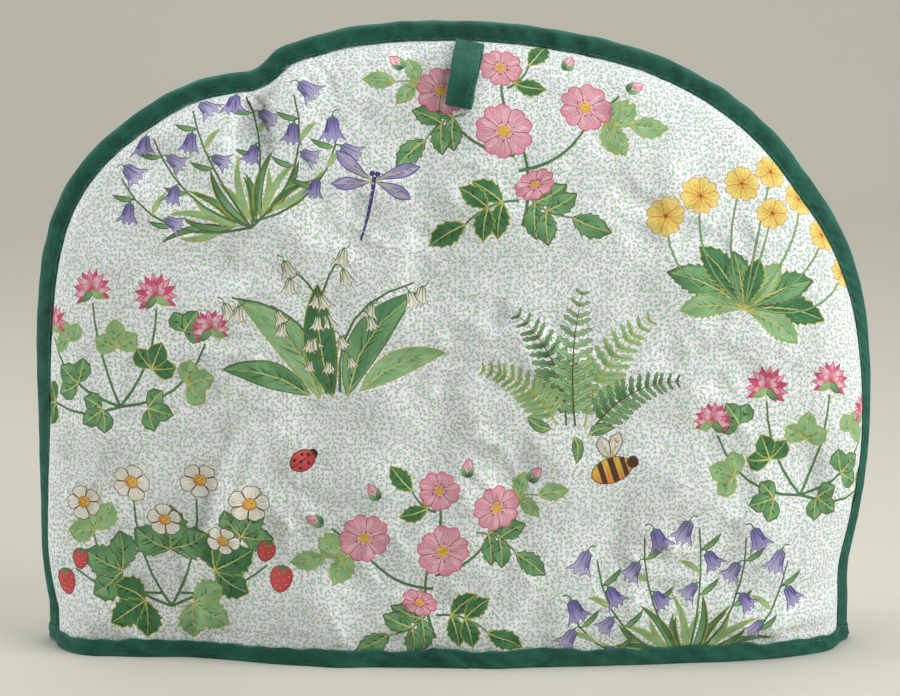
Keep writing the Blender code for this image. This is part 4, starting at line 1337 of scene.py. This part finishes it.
def arch_section():
    """Closed outline of the folded strip: out from the seam, across it, and wear with a painted
    highlight, lightest at the folded rim.
    """
    inner, outer = ARCH_INNER, ARCH_INNER + TAPE
    low, high = inner + 0.45 * TAPE, inner + 0.55 * TAPE
    half = [
        (0.45, inner + 0.1, 0.1), (0.22, inner + 0.45, 0.3), (0.3, outer - 0.22, 0.75),
        (0.6, outer - 0.02, 0.5), (1.0, outer - 0.02, 0.1), (1.5, outer - 0.16, 0.0),
        (2.2, outer + 0.06, 0.0), (3.4, outer + 0.18, 0.0), (4.8, outer + 0.22, 0.0),
        (6.0, outer + 0.14, 0.1), (6.9, outer - 0.06, 0.25), (7.5, outer - 0.5, 0.5),
        (7.95, outer * 0.6, 0.7), (8.15, outer * 0.3, 0.8),
    ]
    turned_in = [(TURN_IN, inner, 0.0), (TURN_IN, low, 0.0), (0.9, low, 0.0), (0.9, high, 0.0),
                 (FIN_END + CLEARANCE, high, 0.0)]

    def other_side(rows):
        return [(out, -across, wear_and_highlight) for out, across, wear_and_highlight in rows]

    return np.array(other_side(half) + [(ARCH_FACE, 0.0, 0.8)] + half[::-1] + turned_in
                    + other_side(turned_in[::-1]))


def make_arch_binding(material):
    section = arch_section()
    foot = HEM_BEND - HEM_TOP - CLEARANCE       # how far it goes on straight down
    runs = np.concatenate(([-foot, -4.0], np.linspace(0.0, seam.length, 760),
                           [seam.length + 4.0, seam.length + foot]))
    run, out = np.meshgrid(runs, section[:, 0], indexing="ij")
    across, rim_wear_and_highlight = (np.tile(section[:, k], (len(runs), 1)) for k in (1, 2))
    inside = np.clip(run, 0.0, seam.length)
    facing = np.sign(across)
    face = np.clip((np.abs(across) - ARCH_INNER) / TAPE, 0.0, 1.2) * (out < ARCH_FACE - 0.2)
    for side, seed in ARCH_SEEDS:
        here = (facing == side)
        lip = arch_lip(inside, seed) * np.clip(1.0 - out / 4.5, 0.0, 1.0)
        out = out + here * lip * (np.abs(across) > ARCH_INNER - 0.01)
        across = across + here * face * side * arch_swell(inside, out, seed)
    gather = gathered(inside)
    out = out + smooth_step((out - 6.8) / 1.2) * (
        0.16 * waves(inside, 10.0, 34.0, 51) + 0.14 * gather * waves(inside, 7.0, 14.0, 52))
    places = seam.fin(inside, out, across)
    past = np.minimum(run, 0.0) + np.minimum(seam.length - run, 0.0)
    places[..., 2] = np.where(past < 0.0, HEM_BEND + past, places[..., 2])
    around = running(np.hypot(np.diff(section[:, 0]), np.diff(section[:, 1])))
    # Wear and a painted highlight, lightest on the folded rim, varied along the seam.
    wear_and_highlight = rim_wear_and_highlight * (0.55 + 0.45 * waves(inside, 14.0, 60.0, 61))
    return tape_object("arch_binding_cloth", places, (runs, around), wear_and_highlight, material)


def hem_keys(outer):
    """Level outline of both panels in the hem, as the CAD hem binding follows it."""
    places = []
    fine = 0.992 * np.sin(np.linspace(-1.0, 1.0, 121) * np.pi / 2)
    level = np.full(len(fine), HEM_FOOT - HEM_BEND)
    for panel, way in ((front, 1), (back, -1)):
        u = np.where(fine < 0, panel.edge(np.pi), panel.edge(0.0)) * fine
        place = panel.outside if outer else panel.inside
        row = place(u, level)[:, :2]
        tips = []
        for run, end in ((0.0, -panel.edge(np.pi)), (seam.length, panel.edge(0.0))):
            if outer:
                tip = seam.fin(run, FIN_END, panel.side * (PANEL_GAP / 2 + SEAM_LAYER))
            else:
                tip = panel.inside(np.array((end,)), level[:1])[0]
            tips.append(tip[:2])
        row = np.concatenate(([tips[0]], row, [tips[1]]))
        places.append(row[::way])
    return np.concatenate(places)


def evened(loops, spacing):
    """The same closed loops with more points where they are far apart."""
    count = np.maximum(1, np.ceil(np.linalg.norm(
        (np.roll(loops, -1, axis=0) - loops)[:, :2], axis=1) / spacing).astype(int))
    rows = []
    for here, there, n in zip(loops, np.roll(loops, -1, axis=0), count):
        rows += [here + (there - here) * k / n for k in range(n)]
    return np.array(rows)


def offset_loop(points, distance):
    """A closed outline moved outwards by an even distance."""
    after = unit(np.roll(points, -1, axis=0) - points)
    before = np.roll(after, 1, axis=0)
    normal = np.stack((after[:, 1] + before[:, 1], -after[:, 0] - before[:, 0]), axis=1)
    return points + normal * (2.0 * distance / np.sum(normal**2, axis=1))[:, None]


def chaikin(points, times):
    """Round a closed outline's corners."""
    for _ in range(times):
        after = np.roll(points, -1, axis=0)
        points = np.stack((points * 0.75 + after * 0.25, points * 0.25 + after * 0.75),
                          axis=1).reshape(-1, points.shape[1])
    return points


# Section of the hem binding, in a ring from its outer edge: which of the four outlines,
# mix towards the next one, share of its height, millimetres above that, and wear with a
# painted highlight, lightest on the top fold.
HEM_SECTION = (
    (0, 0.45, 0, 0, 0.1), (0, 0.1, 0, 0.25, 0.3), (0, 0, 0, 0.9, 0.5), (0, 0, 0.22, 0.3, 0.1),
    (0, 0, 0.42, 0, 0), (0, 0, 0.62, 0, 0), (0, 0, 0.76, 0, 0.05), (0, 0.1, 0.84, 0, 0),
    (0, 0, 0.92, 0, 0.5), (0, 0.12, 0.985, 0, 0.8), (0, 0.5, 1, 0, 0.3), (1, 0, 0.97, 0, 0),
    (1, 0, 0.5, 0, 0), (0, 0.55, 0.5, 0, 0), (0, 0.55, 0.9, 0, 0), (0, 0.45, 0.9, 0, 0),
    (0, 0.45, 0, TAPE, 0), (2, 0.55, 0, TAPE, 0), (2, 0.55, 0.9, 0, 0), (2, 0.45, 0.9, 0, 0),
    (2, 0.45, 0.5, 0, 0), (2, 0, 0.5, 0, 0), (2, 0, 0.97, 0, 0), (2, 0.5, 1, 0, 0.3),
    (2, 0.95, 0.97, 0, 0.3), (3, 0, 0.8, 0, 0), (3, 0, 0.5, 0, 0), (3, 0, 0.2, 0.4, 0),
    (3, 0, 0, 0.7, 0.3), (2, 0.8, 0, 0.1, 0.2), (2, 0.4, 0, 0, 0.1),
)
HEM_SEWN_ROW = 6
HEM_JOIN = (1.0, -60.0)     # where the strip's end laps over its start, near the middle
LAP, LAP_HEIGHT, JOIN_SLANT = 15.0, 0.85, 8.0
HEM_WOBBLE, HEM_CREASE, HEM_CRINKLE = 0.42, 0.34, 0.30      # its top edge and its face
TIP_FROM, TIP_LENGTH, TIP_LIFT = 160.0, 12.0, 1.1           # the mouth's two ends lift
HEM_SEWN = (136.0, 162.0)   # stretch of the front where its stitches show


def hem_outlines():
    """Level outlines in columns: outer face and its back, the same inside, the cloth's skin."""
    outside, inside = hem_keys(True), hem_keys(False)
    gap, far = CLEARANCE, CLEARANCE + TAPE
    loops = np.concatenate((offset_loop(outside, far), offset_loop(outside, gap),
                            offset_loop(inside, -gap), offset_loop(inside, -far), outside), axis=1)
    return chaikin(evened(loops, 2.5), 2)


def hem_stops(join, total):
    """Stations round the mouth, closer together at the join."""
    base = np.linspace(0.0, total, 620)[:-1]
    base = base[(base < join - LAP - 0.2) | (base > join + 8.2)]
    fine = join + np.concatenate((np.arange(-LAP, 0, 0.6), (-0.12, 0.12), np.arange(0.6, 8, 0.6)))
    return np.sort(np.concatenate((base, fine)))


def make_hem_binding(material):
    """The strip, its length round the mouth, and the seam line that shows at the right."""
    loops = hem_outlines()
    run = running(np.hypot(*(np.roll(loops[:, :2], -1, axis=0) - loops[:, :2]).T))
    closed = np.concatenate((loops, loops[:1]))

    def outline(at, number):
        """Places on one of the four outlines, or on the cloth's skin, which is the last."""
        return np.stack([np.interp(at, run, closed[:, 2 * number + k]) for k in (0, 1)], axis=1)

    join = float(run[np.argmin(np.hypot(loops[:, 0] - HEM_JOIN[0], loops[:, 1] - HEM_JOIN[1]))])
    total = float(run[-1])
    stops = hem_stops(join, total)
    near = hill(stops - join, 9.0)
    mean_x, mean_y = outline(stops, 0).T
    level = np.where(mean_y > 0, -mean_x, mean_x)
    top = HEM_TOP + sum(rise * hill(level - at, width) for at, width, rise in HEM_RISES)
    top = top + HEM_WOBBLE * waves(stops, 8.0, 36.0, 71)
    corner = np.clip((np.abs(mean_x) - TIP_FROM) / TIP_LENGTH, 0.0, 1.0) ** 2
    places = np.empty((len(stops), len(HEM_SECTION), 3))
    wear_and_highlight = np.empty((len(stops), len(HEM_SECTION)))
    for k, (number, mix, share, extra, rim_wear_and_highlight) in enumerate(HEM_SECTION):
        height = top * share + extra
        slide = near * (height / HEM_TOP - 0.5) * -JOIN_SLANT
        at = (stops + slide) % total
        here, following = outline(at, number), outline(at, min(number + 1, 3))
        flat = here * (1 - mix) + following * mix
        if number == 0:
            way = unit(here - outline(at, 4))
            body = math.sin(math.pi * min(1.0, max(0.0, share + 0.08)))
            crease = (HEM_CREASE * waves(at + 1.5 * height, 7.0, 30.0, 81)
                      + HEM_CRINKLE * waves(at * 0.22 + 3.5 * height, 5.0, 9.0, 82))
            lap = LAP_HEIGHT * smooth_step((stops - join + LAP) / 13.0) * (stops < join)
            flat = flat + way * ((crease * body) * (1.0 - mix) + lap)[:, None] * (share < 0.99)
            if k == HEM_SEWN_ROW:
                facing = np.concatenate((way, np.zeros((len(stops), 1))), axis=1)
        places[:, k, :2] = flat
        places[:, k, 2] = height + corner * TIP_LIFT * (1.0 - min(1.0, share * 1.6))
        # Wear and a painted highlight, lightest on the top fold, and lighter at the mouth's two ends.
        wear_and_highlight[:, k] = rim_wear_and_highlight * (0.5 + 0.5 * waves(at, 16.0, 70.0, 91)) + 0.35 * corner
    around = running(np.linalg.norm(np.diff(places, axis=1), axis=2).mean(axis=0))
    along = np.concatenate((stops, [stops[0] + total]))
    solid = tape_object("hem_binding_cloth", places, (along, around), wear_and_highlight, material,
                        closed_along=True)
    sewn = (mean_x > HEM_SEWN[0]) & (mean_x < HEM_SEWN[1]) & (mean_y < 0.0)
    return solid, total, (places[sewn, HEM_SEWN_ROW] + facing[sewn] * 0.06, facing[sewn])


# -------------------------------------------------------------------- loop

LOOP_SECTION = (            # across, half thickness, wear with a painted highlight that is lightest on the right edge: the open edges are on the right
    (-6, 0, 0.6), (-5.85, 0.32, 0.6), (-5.3, 0.46, 0.2), (-3, 0.5, 0), (0, 0.52, 0), (2.8, 0.5, 0),
    (3.9, 0.46, 0), (4.25, 0.26, 0), (4.6, 0.48, 0.3), (5.5, 0.52, 0.4), (5.9, 0.44, 0.9),
    (6, 0.2, 0.8), (5.8, 0.06, 0.2), (-5, 0.03, 0),
)
LOOP_SEWN = 4.25            # across, where the folded tape is stitched


def loop_path():
    """The tape's middle, down its back layer, round the fold and up its front layer."""
    share = np.linspace(0.0, 1.0, 26)
    x = LOOP_TOP[0] + (LOOP_FOOT[0] - LOOP_TOP[0]) * share
    z = LOOP_TOP[1] + (LOOP_FOOT[1] - LOOP_TOP[1]) * share
    turn = np.arctan2(z - HEM_BEND, x)
    away = np.minimum(np.hypot(x, z - HEM_BEND) / seam.at(turn, seam.reach), 1.0)
    depth = front.depth(away, turn, SEAM_LAYER) + front.fold(x, z, away)
    points = np.stack((x, -depth, z), axis=1)
    along = np.gradient(points, axis=0)
    normal = unit(np.stack((0 * share, along[:, 2], -along[:, 1]), axis=1))
    free = 0.4 + 0.6 * smooth_step(share / 0.2)     # sewn down flat at its top
    rest = TAPE / 2 + LOOP_REST * free
    gap = TAPE + CLEARANCE * free + LOOP_GAP * np.sin(np.pi * share * 0.75) ** 1.2
    back_layer = points + normal * rest[:, None]
    front_layer = points + normal * (rest + gap)[:, None]
    down = unit(points[-1] - points[-2])
    radius = gap[-1] / 2
    centre = back_layer[-1] + normal[-1] * radius
    bend = [centre + radius * (down * math.cos(a) + normal[-1] * math.sin(a))
            for a in np.linspace(-0.42, 0.42, 11) * math.pi]
    return np.concatenate((back_layer, bend, front_layer[::-1])), len(front_layer)


def make_loop(material):
    """The tape, its length and the seam line on its front layer."""
    path, front_rows = loop_path()
    lean = math.atan2(LOOP_FOOT[0] - LOOP_TOP[0], LOOP_TOP[1] - LOOP_FOOT[1])
    sideways = np.array((math.cos(lean), 0.0, math.sin(lean)))
    run = running(np.linalg.norm(np.diff(path, axis=0), axis=1))
    out = unit(np.cross(unit(np.gradient(path, axis=0)), sideways))
    section = np.array(LOOP_SECTION + tuple(
        (across, -half, wear_and_highlight) for across, half, wear_and_highlight in LOOP_SECTION[:0:-1]))
    narrow = 1.0 - 0.1 * np.sin(np.pi * run / run[-1])
    sway = 0.15 * waves(run, 8.0, 20.0, 303)
    across = section[:, 0] * narrow[:, None] + sway[:, None]
    thick = section[:, 1] * (1.0 + 0.07 * waves(run[:, None] + 0.4 * across, 2.2, 4.5, 301))
    places = path[:, None, :] + sideways * across[..., None] + out[:, None, :] * thick[..., None]
    around = running(np.hypot(np.diff(section[:, 0]), np.diff(section[:, 1])))
    # Wear and a painted highlight, lightest on the right edge.
    wear_and_highlight = section[:, 2] * (0.6 + 0.4 * waves(run, 6.0, 24.0, 305))[:, None]
    shown = slice(front_rows + 2, -1)
    sewn = path + sideways * (LOOP_SEWN * narrow + sway)[:, None] - out * 0.36
    return (tape_object("hanging_loop_cloth", places, (run, around), wear_and_highlight, material),
            float(run[-1]), (sewn[shown], -out[shown]))


# ----------------------------------------------------------------- stitches

STITCH, STITCH_GAP, STITCH_RADIUS = 2.3, 0.7, 0.17
STITCH_SHAPE = (            # share of the stitch's length, lift off the cloth, thickness share
    (0.0, -0.18, 0.45), (0.14, 0.02, 0.95), (0.5, 0.08, 1.0), (0.86, 0.02, 0.95),
    (1.0, -0.18, 0.45),
)


def make_stitches(name, lines, material):
    """Rows of short raised stitches. Each line gives points and outward normals."""
    share, lift, fat = np.array(STITCH_SHAPE).T
    fat = fat * STITCH_RADIUS
    sides = 6
    points, faces = [], []
    for places, normals in lines:
        run = running(np.linalg.norm(np.diff(places, axis=0), axis=1))
        for start in np.arange(0.5, run[-1] - STITCH, STITCH + STITCH_GAP):
            along = start + STITCH * share
            spine, up = (np.stack([np.interp(along, run, rows[:, k]) for k in range(3)], axis=1)
                         for rows in (places, normals))
            up = unit(up)
            side = np.cross(unit(spine[-1] - spine[0]), up)
            base = len(points)
            for p, u, s, l, f in zip(spine, up, side, lift, fat):
                points += [p + u * l + f * (s * math.cos(a) * 1.1 + u * math.sin(a) * 0.8)
                           for a in ring(sides)]
            for first in range(base, len(points) - sides, sides):
                for k in range(sides):
                    a, b = first + k, first + (k + 1) % sides
                    faces.append((a, b, b + sides, a + sides))
            faces.append(tuple(range(base, base + sides))[::-1])
            faces.append(tuple(range(len(points) - sides, len(points))))
    mesh = new_mesh(name, points, faces)
    mesh.materials.append(material)
    return add_object(name, mesh)


def arch_stitch_lines():
    """The two rows beside the arch binding's edges, which follow its ripples."""
    run = np.linspace(2.0, seam.length - 2.0, 900)
    lines = []
    for side, seed in ARCH_SEEDS:
        out = 1.05 + 0.77 * arch_lip(run, seed)
        across = side * (ARCH_INNER + TAPE - 0.05 + arch_swell(run, out, seed))
        here = seam.fin(run, out, across)
        lines.append((here, seam.fin(run, out, across + side) - here))
    return lines


# ------------------------------------------------------------------- objects

binding = green_cotton("binding_cotton_cloth")
tape = green_cotton("loop_cotton_cloth", across_rib=True)
cottons = (printed_cotton(), plain_cotton())
panels = [make_panel("front_panel_cloth", front, FRONT_PRINT, 7, cottons),
          make_panel("back_panel_cloth", back, BACK_PRINT, 8, cottons)]
arch = make_arch_binding(binding)
hem, hem_length, hem_seam = make_hem_binding(binding)
loop, loop_length, loop_seam = make_loop(tape)
stitches = make_stitches("stitches", arch_stitch_lines() + [hem_seam, loop_seam], thread())

for piece, node, slot in (
    (panels[0], "front_panel", "printed_cotton"),
    (panels[1], "back_panel", "printed_cotton"),
    (arch, "arch_binding", "binding_cotton"),
    (hem, "hem_binding", "binding_cotton"),
    (loop, "hanging_loop", "loop_cotton"),
):
    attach(piece, "root")
    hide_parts(node)
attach(stitches, "root")


# -------------------------------------------------------------- floor, light

def make_floor():
    """A pale sheet that curves up behind the object."""
    half, front_edge, bend, radius, top = 3.2, -3.0, 1.5, 1.2, 3.6
    profile = [(front_edge, 0.0), (-1.0, 0.0), (0.0, 0.0), (bend, 0.0)]
    for angle in np.linspace(0, math.pi / 2, 17)[1:]:
        profile.append((bend + radius * math.sin(angle), radius * (1 - math.cos(angle))))
    profile.append((bend + radius, top))
    columns = np.linspace(-half, half, 9)
    n = len(columns)
    faces = [(i * n + k, i * n + k + 1, (i + 1) * n + k + 1, (i + 1) * n + k)
             for i in range(len(profile) - 1) for k in range(n - 1)]
    mesh = bpy.data.meshes.new("floor")
    mesh.from_pydata([(x, y, z) for y, z in profile for x in columns], [], faces)
    mesh.shade_smooth()
    nodes = Nodes("studio_paper", 0.7, 0.2)
    where = nodes.node("ShaderNodeTexCoord").outputs["Object"]
    nodes.join(nodes.mix(nodes.noise(where, 3.0, 3.0), rgb(199, 197, 187), rgb(203, 201, 191)),
               "Base Color")
    mesh.materials.append(nodes.material)
    add_object("floor", mesh)


def area_light(name, place, target, size, power, colour):
    data = bpy.data.lights.new(name, "AREA")
    data.shape = "RECTANGLE"
    data.size, data.size_y = size
    data.energy = power
    data.color = colour
    lamp = add_object(name, data)
    lamp.location = place
    lamp.rotation_euler = (Vector(target) - Vector(place)).to_track_quat("-Z", "Y").to_euler()


make_floor()
MIDDLE = (0.0, 0.0, 0.12)
WHITE, WARM, PAPER_WARM = (1.0, 1.0, 0.99), (1.0, 0.99, 0.98), (1.0, 0.99, 0.96)
area_light("key", (1.45, -0.45, 0.85), MIDDLE, (0.45, 0.5), 12.5, WARM)
area_light("front", (1.2, -1.2, 1.0), MIDDLE, (0.6, 0.6), 13.0, WARM)
area_light("top", (0.0, -0.1, 1.6), (0.0, -0.05, 0.0), (1.0, 0.6), 8.5, WHITE)
area_light("left", (-1.3, -0.1, 0.5), MIDDLE, (0.4, 0.6), 9.0, WHITE)
area_light("backdrop", (0.0, 1.6, 3.4), (0.0, 2.2, 0.0), (3.0, 0.6), 50.0, PAPER_WARM)

world = bpy.data.worlds.new("studio")
world.use_nodes = True
background = world.node_tree.nodes["Background"]
background.inputs["Color"].default_value = (*PAPER_WARM, 1.0)
background.inputs["Strength"].default_value = 0.14
bpy.context.scene.world = world
bpy.context.scene.view_settings.view_transform = "Standard"

CAMERA_REACH, CAMERA_RISE = 1.3, math.radians(9.0)      # from the place that it looks at
AIM_X, AIM_Z = -0.0017, 0.1256
camera_data = bpy.data.cameras.new("camera")
camera_data.sensor_width = 36.0
camera_data.lens = 124.36
camera_data.clip_end = 50.0
camera = add_object("camera", camera_data)
camera.location = (AIM_X, -CAMERA_REACH * math.cos(CAMERA_RISE),
                   AIM_Z + CAMERA_REACH * math.sin(CAMERA_RISE))
camera.rotation_euler = (math.pi / 2 - CAMERA_RISE, 0.0, 0.0)
bpy.context.scene.camera = camera
